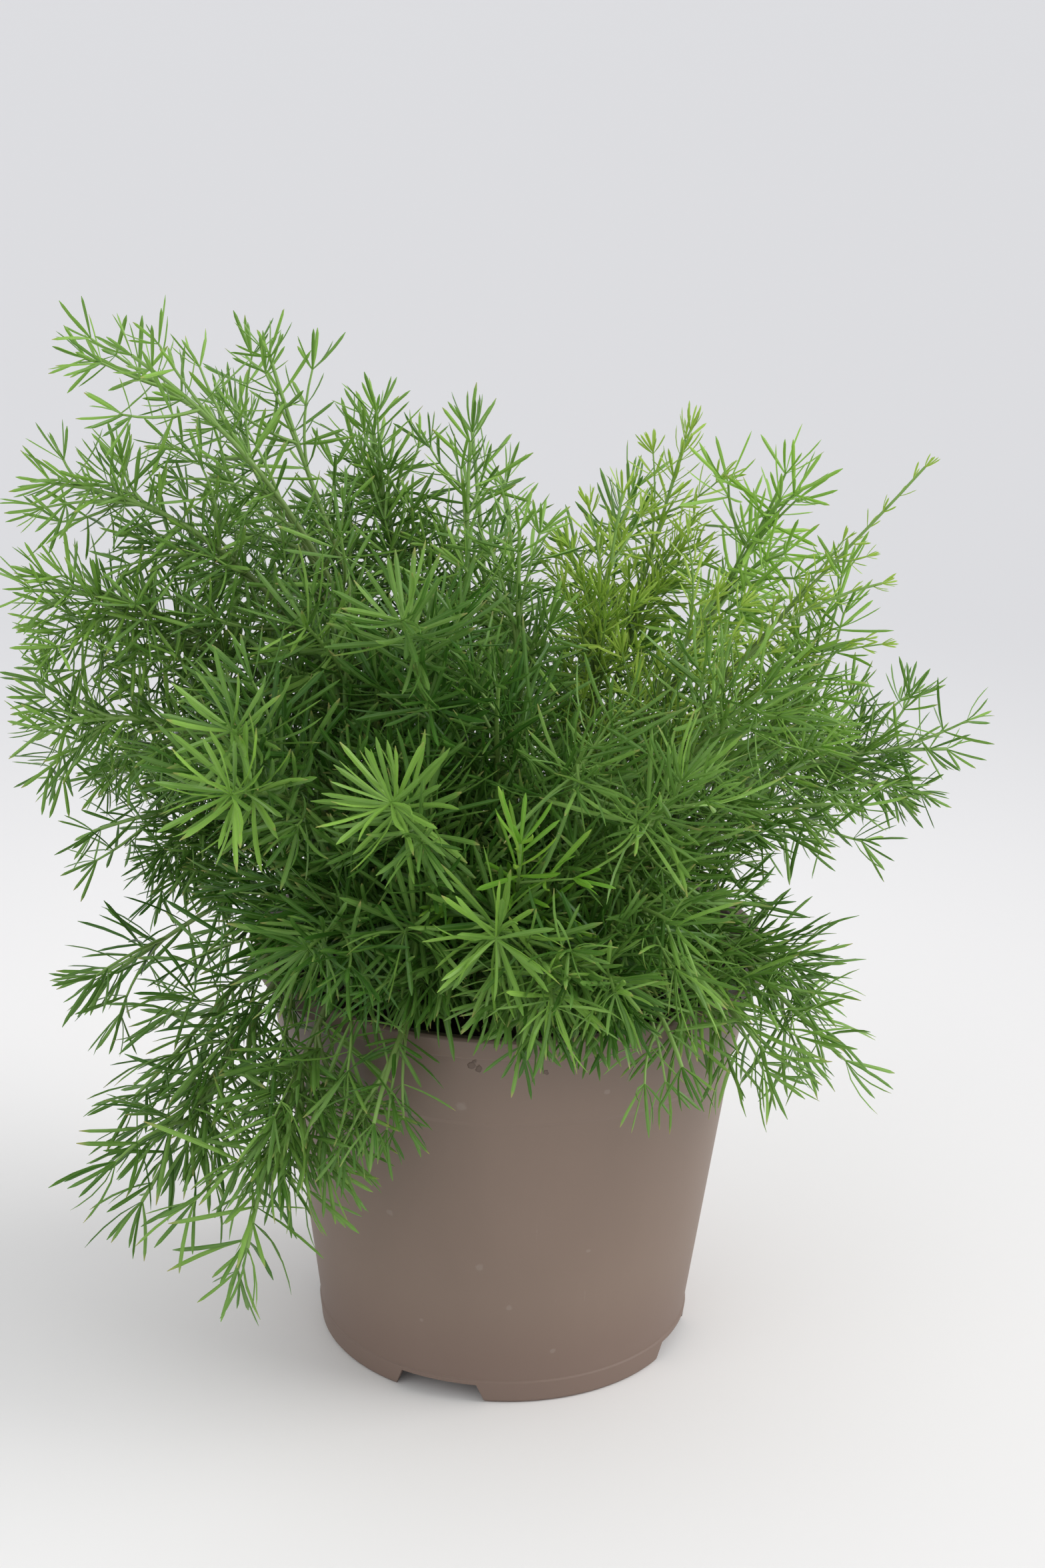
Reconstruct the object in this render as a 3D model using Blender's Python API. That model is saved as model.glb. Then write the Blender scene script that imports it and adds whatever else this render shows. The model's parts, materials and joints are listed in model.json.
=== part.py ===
"""Potted sprengeri asparagus fern: a plastic nursery pot, its soil and the leafy stems.

The origin is the centre of the pot's underside, on the surface that the pot stands on.
X runs to the right and -Y to the front. Sizes are in millimetres and are scaled to
metres as each mesh is made.
"""

import math

import bmesh
import bpy
import numpy as np

MM = 0.001
UP = np.array([0.0, 0.0, 1.0])
GOLDEN_ANGLE = math.pi * (3 - math.sqrt(5))
SEED = 41

# Pot: outer radii and heights
POT_HEIGHT = 107.0
RIM_RADIUS = 65.0
BEAD_HEIGHT = 5.0
BEAD_OVERHANG = 2.6
COLLAR_HEIGHT = 22.0
COLLAR_STEP = 0.9
COLLAR_FOOT_RADIUS = 59.4
FOOT_RADIUS = 48.0
FOOT_SLOPE = 0.6
SKIRT_HEIGHT = 6.0
SKIRT_STEP = 0.4
EDGE_SLOPE = 0.7
WALL = 1.5
TURNED_SEGMENTS = 30

# Pot underside: a flat centre pad, a raised channel with drain holes, and four notches
PAD_RADIUS = 18.0
FLOOR_THICKNESS = 1.8
CHANNEL_RISE = 5.2
PAD_SLOPE = 3.0
NOTCH_WIDTH = 24.0
NOTCH_NARROWING = 4.0
NOTCH_HEIGHT = 5.0
NOTCH_BEARING = 251.0
NOTCH_COUNT = 4
DRAIN_COUNT = 4
DRAIN_RADIUS = 5.0
DRAIN_SIDES = 8
DRAIN_CIRCLE = 33.0
DRAIN_BEARING = 20.0

# Soil
GAP = 0.3
SOIL_DROP = 7.0
SOIL_MOUND = 3.0
SOIL_LUMP = 0.9
SOIL_RINGS = (22.0, 43.0)
HOLE_DEPTH = 8.5
HOLE_MOUTH = 6.0

# Stems: a cubic curve each, its control points set as shares of the span from root to tip
STEM_RADIUS = 1.1
STEM_TIP_RADIUS = 0.75
STEM_SIDES = 4
STEM_SPANS = 5
STEM_SPACING = 3.4
STEM_START = 1.5
STEM_RISE = 0.42
STEM_LEAN = 0.14
HANGING_RISE = 0.22
TIP_PULL = 0.34
RIM_CLEARANCE = 3.5
ROOT_SPACING = 6.2
ROOT_INNER, ROOT_OUTER = 7.0, 38.0

# Branchlets: the leafy part of a stem starts and ends at shares of its length
BRANCHLET_RADIUS = 0.8
BRANCHLET_TIP_RADIUS = 0.7
BRANCHLET_SIDES = 4
BRANCHLET_SPLAY = math.radians(52)
BRANCHLET_BEND = 0.55
BRANCHLET_DROOP = 0.12
BRANCHLET_SPACING = 35.0
BRANCHLET_TURN = 1.3
LEAF_ZONE = (0.24, 0.97)
MOST_BRANCHLETS, MOST_ON_THIN = 4, 2
CLEARANCE = 0.45
LOWEST_FOLIAGE = 12.0

# Needles: a tuft is the first joint that has one, then the needles at a joint and at the end
NEEDLE_WIDTH = 1.2
NEEDLE_THICKNESS = 0.66
NEEDLE_OFFSET = 1.3
NEEDLE_LEAVES = 1.1
NEEDLE_LABEL = -1
NEEDLE_SPLAY, NEEDLE_SPLAY_AT_END = 70.0, 48.0
END_NEEDLE = 0.6
STEM_TUFTS = (5, 1, 3)
BRANCHLET_TUFTS = (1, 2, 2)
SHORT_BRANCHLET = 17.0

# Each group of stems: needle length, branchlet length, and whether it is young growth
GROUPS = {
    "front_shoot": (17.5, 27.0, False),
    "rim_shoot": (16.5, 24.0, False),
    "hanging_shoot": (16.0, 32.0, False),
    "left_shoot": (14.5, 30.0, False),
    "crown_shoot": (15.0, 28.0, False),
    "right_shoot": (15.0, 30.0, False),
    "young_shoot": (10.0, 26.0, True),
    "thin_young_shoot": (6.0, 12.0, True),
    "back_shoot": (15.0, 30.0, False),
}

# The end of each stem (x, y, z) and its heading there (bearing, pitch in degrees)
TIPS = {
    "front_shoot": [
        (-27, -75, 169, 262, 25),
        (-26, -50, 204, 262, 40),
        (-64, -60, 180, 252, 25),
        (-63, -72, 169, 258, 12),
        (-50, -22, 194, 225, 45),
        (-3, -85, 141, 268, 5),
        (16, -60, 178, 285, 45),
        (58, -32, 184, 325, 45),
        (38, -64, 172, 295, 60),
        (38, -72, 140, 300, 0),
        (-46, -72, 132, 245, -10),
        (-24, -70, 136, 255, 0),
        (-4, -40, 186, 275, 60),
        (-30, -50, 126, 250, 25),
        (12, -50, 132, 280, 30),
        (42, -38, 130, 320, 25),
    ],
    "rim_shoot": [
        (10, -92, 128, 275, -15),
        (24, -86, 129, 285, -15),
        (40, -79, 108, 298, -50),
        (74, -38, 101, 335, -18),
        (61, -54, 101, 318, -35),
    ],
    "hanging_shoot": [
        (-87, -59, 60, 214, -50),
        (-60, -75, 57, 238, -68),
        (-30, -83, 94, 256, -50),
        (-90, -44, 81, 205, -35),
        (-103, 10, 90, 176, -35),
    ],
    "left_shoot": [
        (-114, -20, 166, 190, -15),
        (-116, -14, 199, 205, 8),
        (-102, -14, 197, 225, 25),
        (-112, -8, 224, 184, 5),
        (-92, -8, 255, 185, 35),
        (-108, 24, 248, 178, 12),
        (-63, 26, 250, 150, 70),
        (-104, 34, 138, 162, -20),
        (-110, 26, 123, 170, -25),
    ],
    "crown_shoot": [
        (-38, 40, 229, 115, 70),
        (-13, 30, 228, 80, 75),
        (0, -12, 216, 270, 80),
        (-74, 50, 230, 130, 60),
    ],
    "right_shoot": [
        (64, 14, 219, 300, 50),
        (114, 42, 146, 20, -5),
        (98, 46, 140, 24, -8),
        (74, 6, 164, 355, 15),
        (84, -10, 148, 350, 0),
    ],
    "young_shoot": [
        (2, -80, 162, 275, 70),
        (41, 34, 229, 40, 70),
        (25, 12, 220, 50, 75),
        (48, -6, 200, 340, 60),
    ],
    "thin_young_shoot": [
        (97, 0, 231, 0, 52),
        (88, -4, 203, 352, 15),
        (86, 6, 186, 5, 8),
    ],
}
BACK_BEARINGS = (46, 68, 92, 116, 142, 60, 104)
BACK_REACH = (94, 90, 96, 92, 92, 58, 54)
BACK_HEIGHTS = (190, 144, 196, 148, 206, 212, 226)
BACK_PITCH = (25, -20, 25, -20, 30, 55, 60)


def direction(bearing, pitch):
    """Unit vector from a bearing, turned from +X to +Y, and a pitch above level, in degrees."""
    level = math.cos(math.radians(pitch))
    turn = math.radians(bearing)
    return np.array([level * math.cos(turn), level * math.sin(turn), math.sin(math.radians(pitch))])


def unit(vector):
    return vector / np.linalg.norm(vector)


def pot_outline():
    """The pot's outer side from foot to rim, as radius and height."""
    collar_foot = POT_HEIGHT - COLLAR_HEIGHT
    ledge = POT_HEIGHT - BEAD_HEIGHT
    under_bead = RIM_RADIUS - BEAD_OVERHANG
    return [
        (FOOT_RADIUS - FOOT_SLOPE, 0.0),
        (FOOT_RADIUS, 0.8),
        (FOOT_RADIUS + FOOT_SLOPE, SKIRT_HEIGHT),
        (FOOT_RADIUS + FOOT_SLOPE - SKIRT_STEP, SKIRT_HEIGHT + 0.3),
        (COLLAR_FOOT_RADIUS - COLLAR_STEP, collar_foot),
        (COLLAR_FOOT_RADIUS, collar_foot + 0.6),
        (under_bead, ledge - 0.4),
        (RIM_RADIUS, ledge),
        (RIM_RADIUS, POT_HEIGHT - EDGE_SLOPE),
        (RIM_RADIUS - EDGE_SLOPE, POT_HEIGHT),
    ]


def outer_radius(height):
    radii, heights = zip(*pot_outline())
    return np.interp(height, heights, radii)


def inner_radius(height):
    """The pot's inner wall, parallel to its plain outer side."""
    foot = FOOT_RADIUS + FOOT_SLOPE - SKIRT_STEP - WALL
    top = RIM_RADIUS - BEAD_OVERHANG - WALL
    return foot + (top - foot) * height / POT_HEIGHT


def soil_height(x, y):
    """The lumpy top of the soil, a little higher in the middle."""
    radius = np.hypot(x, y)
    inner = inner_radius(POT_HEIGHT)
    mound = SOIL_MOUND * (1 - (radius / inner) ** 2)
    lumps = np.sin(x * 0.31 + 1.0) * np.cos(y * 0.27 - 0.6) + 0.6 * np.sin((x - y) * 0.19)
    return POT_HEIGHT - SOIL_DROP + mound + SOIL_LUMP * lumps * np.minimum(1, (inner - radius) / 12)


class Shoot:
    """A leafy stem: where it is rooted, where its tip goes, and what it bears."""

    def __init__(self, name, group, tip, heading):
        self.name = name
        self.needle_length, self.branchlet_length, self.young = GROUPS[group]
        self.thin = group.startswith("thin")
        self.tip = np.array(tip, float)
        self.heading = heading
        outward = unit(self.tip * (1, 1, 0))
        reach = np.hypot(self.tip[0], self.tip[1])
        rise = max(0.0, self.tip[2] - POT_HEIGHT)
        lean = reach / (reach + rise)
        self.root = outward * (ROOT_INNER + (ROOT_OUTER - ROOT_INNER) * lean ** 1.5)
        self.stem = None
        self.branchlets = []
        self.needles = []

    def bend(self):
        """Sets the curve's inner control points from the root, the tip and its heading."""
        self.start = self.root + UP * (soil_height(*self.root[:2]) + STEM_START)
        span = np.linalg.norm(self.tip - self.start)
        outward = unit(self.tip * (1, 1, 0))
        rise = STEM_RISE + HANGING_RISE * max(0.0, -self.heading[2])
        self.inner = self.start + (UP * rise + outward * STEM_LEAN) * span
        self.outer = self.tip - self.heading * TIP_PULL * span

    def at(self, share):
        """Points on the stem's curve above the soil, at shares 0 to 1."""
        t = np.asarray(share, float)[..., None]
        return (
            (1 - t) ** 3 * self.start
            + 3 * (1 - t) ** 2 * t * self.inner
            + 3 * (1 - t) * t ** 2 * self.outer
            + t ** 3 * self.tip
        )


def named_shoots():
    """Every stem with its tip, the front and sides from TIPS and the back in a fan."""
    rows = [(group, row) for group, tips in TIPS.items() for row in tips]
    fan = zip(BACK_BEARINGS, BACK_REACH, BACK_HEIGHTS, BACK_PITCH)
    for bearing, reach, height, pitch in fan:
        x, y, _ = direction(bearing, 0) * reach
        rows.append(("back_shoot", (x, y, height, bearing, pitch)))
    shoots = []
    counts = {}
    for group, (x, y, z, bearing, pitch) in rows:
        counts[group] = counts.get(group, 0) + 1
        name = f"{group}_{counts[group]:02d}"
        shoots.append(Shoot(name, group, (x, y, z), direction(bearing, pitch)))
    return shoots


def spread_roots(shoots):
    """Pushes the roots apart until each has room in the soil."""
    roots = np.array([shoot.root for shoot in shoots])
    for _ in range(200):
        apart = roots[:, None] - roots[None]
        gaps = np.linalg.norm(apart, axis=2)
        np.fill_diagonal(gaps, 1e9)
        push = np.clip(ROOT_SPACING - gaps, 0, None) / np.maximum(gaps, 0.1)
        roots += 0.3 * (apart * push[..., None]).sum(1)
        radii = np.linalg.norm(roots, axis=1, keepdims=True)
        roots *= np.minimum(1, ROOT_OUTER / np.maximum(radii, 1))
    for shoot, root in zip(shoots, roots):
        shoot.root = root


def over_rim(shoot):
    """Lifts a hanging stem until it passes above the rim."""
    for _ in range(30):
        points = shoot.at(np.linspace(0, 1, 40))
        radii = np.hypot(points[:, 0], points[:, 1])
        low = points[:, 2] < POT_HEIGHT + RIM_CLEARANCE
        wall = outer_radius(np.clip(points[:, 2], 0, POT_HEIGHT)) + RIM_CLEARANCE
        inside = (radii > RIM_RADIUS - 14) & (radii < wall) & low
        if not inside.any():
            return
        shoot.inner[2] += 4
        shoot.outer += unit(shoot.tip * (1, 1, 0)) * 1.5


def part_stems(shoots):
    """Bends the stems clear of each other, with their roots and tips kept."""
    shares = np.linspace(0.08, 1, 15)
    near_inner = 3 * (1 - shares) ** 2 * shares
    near_outer = 3 * (1 - shares) * shares ** 2
    owner = np.repeat(np.arange(len(shoots)), len(shares))
    for _ in range(60):
        points = np.concatenate([shoot.at(shares) for shoot in shoots])
        apart = points[:, None] - points[None]
        gaps = np.linalg.norm(apart, axis=2)
        gaps[owner[:, None] == owner[None]] = 1e9
        push = np.clip(STEM_SPACING * 1.6 - gaps, 0, None) / np.maximum(gaps, 0.2)
        if not (gaps < STEM_SPACING).any():
            break
        moves = (apart * push[..., None]).sum(1).reshape(len(shoots), len(shares), 3)
        for shoot, move in zip(shoots, moves):
            shoot.inner += 0.35 * (move * near_inner[:, None]).sum(0)
            shoot.outer += 0.35 * (move * near_outer[:, None]).sum(0)


class Space:
    """The room that stems, branchlets and needles take, kept as thick straight runs."""

    def __init__(self):
        self.starts = np.zeros((0, 3))
        self.ends = np.zeros((0, 3))
        self.radii = np.zeros(0)
        self.labels = np.zeros(0, int)

    def add(self, points, radius, label):
        count = len(points) - 1
        self.starts = np.vstack([self.starts, points[:-1]])
        self.ends = np.vstack([self.ends, points[1:]])
        self.radii = np.append(self.radii, np.full(count, radius))
        self.labels = np.append(self.labels, np.full(count, label))

    def gaps(self, a, b):
        """Least distance from the run a-b to every run kept."""
        u, v, w = b - a, self.ends - self.starts, a - self.starts
        uu, vv = u @ u, (v * v).sum(1)
        uv, uw, vw = v @ u, w @ u, (v * w).sum(1)
        s = np.clip((uv * vw - vv * uw) / np.maximum(uu * vv - uv ** 2, 1e-9), 0, 1)
        t = np.clip((uv * s + vw) / vv, 0, 1)
        s = np.clip((t * uv - uw) / uu, 0, 1)
        return np.linalg.norm(w + s[:, None] * u - t[:, None] * v, axis=1)

    def is_clear(self, points, radius, host):
        """Whether a run of points keeps clear of all but its host, and of pot, soil and floor."""
        for a, b in zip(points[:-1], points[1:]):
            near = self.gaps(a, b) < self.radii + radius + CLEARANCE
            if (near & (self.labels != host)).any():
                return False
        along = np.linspace(0, 1, 8)[:, None]
        runs = [a + (b - a) * along for a, b in zip(points[:-1], points[1:])]
        return clears_pot(np.concatenate(runs), radius + 0.6)


def clears_pot(points, margin):
    """Whether points lie above the pot, outside its wall or inside it above the soil."""
    radii = np.hypot(points[:, 0], points[:, 1])
    heights = points[:, 2]
    wall = outer_radius(np.clip(heights, 0, POT_HEIGHT))
    above = heights > POT_HEIGHT + margin
    outside = (radii > wall + margin) & (heights > LOWEST_FOLIAGE)
    soil = soil_height(points[:, 0], points[:, 1])
    inside = (radii < RIM_RADIUS - 8) & (heights > soil + margin + 0.3)
    return bool((above | outside | inside).all())


def side_axes(axis):
    """Two unit vectors square to an axis."""
    side = np.cross(axis, UP)
    if np.linalg.norm(side) < 0.1:
        side = np.cross(axis, np.array([0.0, 1.0, 0.0]))
    side = unit(side)
    return side, np.cross(axis, side)


class Twig:
    """A stem or branchlet with flat sides that ends in a needle, as a run of points."""

    def __init__(self, label, points, radii, sides, needle_length):
        self.label = label
        self.points = np.asarray(points, float)
        self.radii = np.linspace(*radii, len(points))
        self.sides = sides
        end_way = unit(self.points[-1] - self.points[-2])
        self.point = self.points[-1] + end_way * END_NEEDLE * needle_length
        self.axes = []
        side = side_axes(unit(self.points[1] - self.points[0]))[0]
        for number in range(len(self.points)):
            before = self.points[max(0, number - 1)]
            after = self.points[min(len(self.points) - 1, number + 1)]
            along = unit(after - before)
            side = unit(side - along * (side @ along))
            self.axes.append((side, np.cross(along, side)))

    def length(self):
        return np.linalg.norm(np.diff(self.points, axis=0), axis=1).sum()

    def run(self):
        """The twig's points with the tip of its end needle."""
        return np.vstack([self.points, self.point])

    def out_of(self, span, face, along):
        """The way square out of one flat side on one span."""
        turn = 2 * math.pi * (face + 0.5) / self.sides
        side = self.axes[span][0] + self.axes[span + 1][0]
        over = self.axes[span][1] + self.axes[span + 1][1]
        out = math.cos(turn) * side + math.sin(turn) * over
        return unit(out - along * (out @ along))

    def ring(self, number):
        """The corners round one of the twig's points."""
        side, over = self.axes[number]
        outs = polygon(side, over, self.radii[number], self.sides)
        return [self.points[number] + out for out in outs]


def polygon(side, over, radius, sides):
    """The corners of a regular polygon about the origin, the first along side."""
    turns = [2 * math.pi * corner / sides for corner in range(sides)]
    return [radius * (math.cos(turn) * side + math.sin(turn) * over) for turn in turns]


def stem_twig(shoot, label):
    """The stem from the bottom of its hole in the soil to its tip."""
    foot = shoot.root + UP * (soil_height(*shoot.root[:2]) - HOLE_DEPTH + GAP)
    points = np.vstack([foot, shoot.at(np.linspace(0, 1, STEM_SPANS + 1))])
    radii = (STEM_RADIUS, STEM_TIP_RADIUS)
    return Twig(label, points, radii, STEM_SIDES, shoot.needle_length)


def branchlet_twig(shoot, label, share, length, roll):
    """A side shoot that leaves the stem and bends towards the way that the stem goes."""
    span = min(int(share * STEM_SPANS), STEM_SPANS - 1)
    before, after = shoot.stem.points[span + 1:span + 3]
    base = before + (share * STEM_SPANS - span) * (after - before)
    along = unit(after - before)
    side, over = side_axes(along)
    round_way = math.cos(roll) * side + math.sin(roll) * over
    out = math.cos(BRANCHLET_SPLAY) * along + math.sin(BRANCHLET_SPLAY) * round_way
    tip_way = unit(out + BRANCHLET_BEND * along - BRANCHLET_DROOP * UP)
    middle = base + out * length / 2
    points = [base, middle, middle + tip_way * length / 2]
    radii = (BRANCHLET_RADIUS, BRANCHLET_TIP_RADIUS)
    return Twig(label, points, radii, BRANCHLET_SIDES, shoot.needle_length)


def grow_branchlets(shoots):
    """Gives each stem its side shoots, each turned or shortened until it is clear."""
    space = Space()
    for label, shoot in enumerate(shoots):
        shoot.stem = stem_twig(shoot, label)
        space.add(shoot.stem.run(), STEM_RADIUS, label)
    label = len(shoots)
    turns = np.radians((0, 30, -30, 60, -60, 95, -95, 140))
    low, high = LEAF_ZONE
    for order, shoot in enumerate(shoots):
        leafy = (shoot.stem.length() - HOLE_DEPTH) * (1 - low)
        most = MOST_ON_THIN if shoot.thin else MOST_BRANCHLETS
        count = int(np.clip(round(leafy / BRANCHLET_SPACING), 2, most))
        for number in range(count):
            share = low + (high - low) * (number + 0.5) / count
            reach = shoot.branchlet_length * (1.15 - 0.6 * share)
            roll = order * BRANCHLET_TURN + number * GOLDEN_ANGLE
            tries = [(reach * size, roll + turn) for size in (1.0, 0.75, 0.5) for turn in turns]
            for length, turned_roll in tries:
                twig = branchlet_twig(shoot, label, share, length, turned_roll)
                if space.is_clear(twig.run(), BRANCHLET_RADIUS, shoot.stem.label):
                    space.add(twig.run(), BRANCHLET_RADIUS, label)
                    shoot.branchlets.append(twig)
                    label += 1
                    break
    return space


def needle_spots(twig, first_joint, at_joint, at_end):
    """Where needles leave a twig, in tufts at its joints: span, point, number and share."""
    spots = []
    last = len(twig.points) - 1
    for joint in range(first_joint, last + 1):
        tuft = at_end if joint == last else at_joint
        for number in range(tuft):
            before = joint == last or number % 2 == 0
            span = joint - 1 if before else joint
            along = unit(twig.points[span + 1] - twig.points[span])
            point = twig.points[joint] + along * (-NEEDLE_OFFSET if before else NEEDLE_OFFSET)
            spots.append((span, point, number + joint, joint / last))
    return spots


def grow_needles(shoots, space):
    """Needles on the flat sides of each twig, in tufts, kept off every other needle and twig."""
    random = np.random.default_rng(SEED)
    for order, shoot in enumerate(shoots):
        for twig in [shoot.stem] + shoot.branchlets:
            tufts = STEM_TUFTS if twig is shoot.stem else BRANCHLET_TUFTS
            if twig.length() < SHORT_BRANCHLET:
                tufts = (len(twig.points) - 1,) + tufts[1:]
            taken = set()
            for span, base, number, share in needle_spots(twig, *tufts):
                along = unit(twig.points[span + 1] - twig.points[span])
                splay = NEEDLE_SPLAY + (NEEDLE_SPLAY_AT_END - NEEDLE_SPLAY) * share
                splay = math.radians(splay)
                length = shoot.needle_length * random.uniform(0.85, 1.0)
                for step in range(twig.sides):
                    face = (number * 3 + step + order) % twig.sides
                    out = twig.out_of(span, face, along)
                    way = math.cos(splay) * along + math.sin(splay) * out
                    tip = base + way * length
                    outside = np.array([base + way * 2 * NEEDLE_LEAVES, tip])
                    free = (span, face) not in taken
                    if free and space.is_clear(outside, NEEDLE_WIDTH / 2, twig.label):
                        space.add(outside, NEEDLE_WIDTH / 2, NEEDLE_LABEL)
                        shoot.needles.append((base, tip, np.cross(along, out)))
                        taken.add((span, face))
                        break


def paint(name, colour, roughness):
    """A plain material with a colour and a roughness."""
    material = bpy.data.materials.new(name)
    material.use_nodes = True
    shader = material.node_tree.nodes["Principled BSDF"]
    shader.inputs["Base Color"].default_value = (*colour, 1)
    shader.inputs["Roughness"].default_value = roughness
    shader.inputs["Metallic"].default_value = 0
    return material


def add_object(name, points, faces, collection=None):
    """A mesh object from points in millimetres."""
    mesh = bpy.data.meshes.new(name)
    mesh.from_pydata([tuple(point * MM) for point in np.asarray(points, float)], [], faces)
    thing = bpy.data.objects.new(name, mesh)
    (collection or bpy.context.scene.collection).objects.link(thing)
    return thing


def tapered(name, rings, point, collection=None):
    """A closed solid through rings of corners, ending in a point or, without one, a flat end."""
    sides = len(rings[0])
    points = [corner for ring in rings for corner in ring]
    faces = [tuple(reversed(range(sides)))]
    for start in range(0, len(points) - sides, sides):
        for corner in range(sides):
            a, b = start + corner, start + (corner + 1) % sides
            faces.append((a, b, b + sides, a + sides))
    last = len(points) - sides
    if point is None:
        faces.append(tuple(range(last, len(points))))
    else:
        points.append(point)
        ends = [(last + corner, last + (corner + 1) % sides) for corner in range(sides)]
        faces += [(a, b, len(points) - 1) for a, b in ends]
    return add_object(name, points, faces, collection)


def prism(name, foot, top, radius, sides, collection):
    """An upright prism, its corners where a stem's are."""
    ring = polygon(*side_axes(UP), radius, sides)
    ends = [[foot + out for out in ring], [top + out for out in ring]]
    return tapered(name, ends, None, collection)


def needle(name, base, tip, edge, collection):
    """A flat three-sided needle that narrows to its point."""
    way = unit(tip - base)
    wide = np.cross(way, edge) * NEEDLE_WIDTH / 2
    thick = edge * NEEDLE_THICKNESS
    ring = [base + wide - thick / 2, base - wide - thick / 2, base + thick / 2]
    if np.cross(ring[1] - ring[0], ring[2] - ring[0]) @ way < 0:
        ring.reverse()
    return tapered(name, [ring], tip, collection)


def apply_boolean(thing, collection, operation):
    """Joins or cuts an object with a collection, then removes the collection's objects."""
    modifier = thing.modifiers.new(operation.lower(), "BOOLEAN")
    modifier.operation = operation
    modifier.operand_type = "COLLECTION"
    modifier.collection = collection
    modifier.solver = "MANIFOLD"
    graph = bpy.context.evaluated_depsgraph_get()
    mesh = bpy.data.meshes.new_from_object(thing.evaluated_get(graph))
    thing.modifiers.clear()
    thing.data = mesh
    for other in list(collection.objects):
        bpy.data.objects.remove(other, do_unlink=True)
    bpy.data.collections.remove(collection)


def new_collection(name):
    collection = bpy.data.collections.new(name)
    bpy.context.scene.collection.children.link(collection)
    return collection


def make_shoot(shoot, material):
    """One stem with its branchlets and needles, fused into one solid."""
    stem = shoot.stem
    thing = tapered(shoot.name, [stem.ring(n) for n in range(len(stem.points))], stem.point)
    parts = new_collection(shoot.name + "_parts")
    for number, twig in enumerate(shoot.branchlets):
        rings = [twig.ring(n) for n in range(len(twig.points))]
        tapered(f"{shoot.name}_branchlet_{number}", rings, twig.point, parts)
    for number, (base, tip, edge) in enumerate(shoot.needles):
        needle(f"{shoot.name}_needle_{number}", base, tip, edge, parts)
    apply_boolean(thing, parts, "UNION")
    thing.data.materials.clear()
    thing.data.materials.append(material)
    return thing


def turned(name, outline, material):
    """A solid turned from an outline of radius and height that starts and ends on the axis."""
    shape = bmesh.new()
    points = [shape.verts.new((radius * MM, 0, height * MM)) for radius, height in outline]
    edges = [shape.edges.new(pair) for pair in zip(points[:-1], points[1:])]
    bmesh.ops.spin(
        shape,
        geom=points + edges,
        cent=(0, 0, 0),
        axis=(0, 0, 1),
        dvec=(0, 0, 0),
        angle=2 * math.pi,
        steps=TURNED_SEGMENTS,
        use_duplicate=False,
    )
    bmesh.ops.remove_doubles(shape, verts=shape.verts, dist=0.01 * MM)
    bmesh.ops.recalc_face_normals(shape, faces=shape.faces)
    mesh = bpy.data.meshes.new(name)
    shape.to_mesh(mesh)
    shape.free()
    mesh.shade_smooth()
    mesh.set_sharp_from_angle(angle=math.radians(35))
    mesh.materials.append(material)
    thing = bpy.data.objects.new(name, mesh)
    bpy.context.scene.collection.objects.link(thing)
    return thing


def make_pot(material):
    """The pot: a thin turned wall on a floor with a raised channel, notches and drain holes."""
    floor = CHANNEL_RISE + FLOOR_THICKNESS
    channel = PAD_RADIUS + PAD_SLOPE
    skirt = FOOT_RADIUS - FOOT_SLOPE - WALL
    outline = [(0, 0), (PAD_RADIUS, 0), (channel, CHANNEL_RISE), (skirt, CHANNEL_RISE), (skirt, 0)]
    outline += pot_outline()
    outline += [(inner_radius(POT_HEIGHT), POT_HEIGHT - EDGE_SLOPE), (inner_radius(floor), floor)]
    outline += [(channel - 1, floor), (PAD_RADIUS - 1, FLOOR_THICKNESS), (0, FLOOR_THICKNESS)]
    pot = turned("pot", outline, material)
    cutters = new_collection("pot_cutters")
    for number in range(NOTCH_COUNT):
        bearing = NOTCH_BEARING + number * 360 / NOTCH_COUNT
        add_notch(f"notch_{number}", bearing, cutters)
    for number in range(DRAIN_COUNT):
        centre = direction(DRAIN_BEARING + number * 360 / DRAIN_COUNT, 0) * DRAIN_CIRCLE
        ends = (centre + UP * (CHANNEL_RISE - 2), centre + UP * (floor + 2))
        prism(f"drain_{number}", *ends, DRAIN_RADIUS, DRAIN_SIDES, cutters)
    apply_boolean(pot, cutters, "DIFFERENCE")
    return pot


def add_notch(name, bearing, collection):
    """A wedge that cuts a wide, low notch in the pot's foot."""
    out = direction(bearing, 0)
    across = np.cross(UP, out)
    low, high = NOTCH_WIDTH / 2, NOTCH_WIDTH / 2 - NOTCH_NARROWING / 2
    section = [(-low - 0.4, -1.0), (low + 0.4, -1.0), (high, NOTCH_HEIGHT), (-high, NOTCH_HEIGHT)]
    near, far = FOOT_RADIUS - 9, FOOT_RADIUS + 6
    points = [out * reach + across * x + UP * z for reach in (near, far) for x, z in section]
    sides = [(0, 1, 5, 4), (1, 2, 6, 5), (2, 3, 7, 6), (3, 0, 4, 7)]
    return add_object(name, points, [(3, 2, 1, 0), (4, 5, 6, 7)] + sides, collection)


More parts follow.
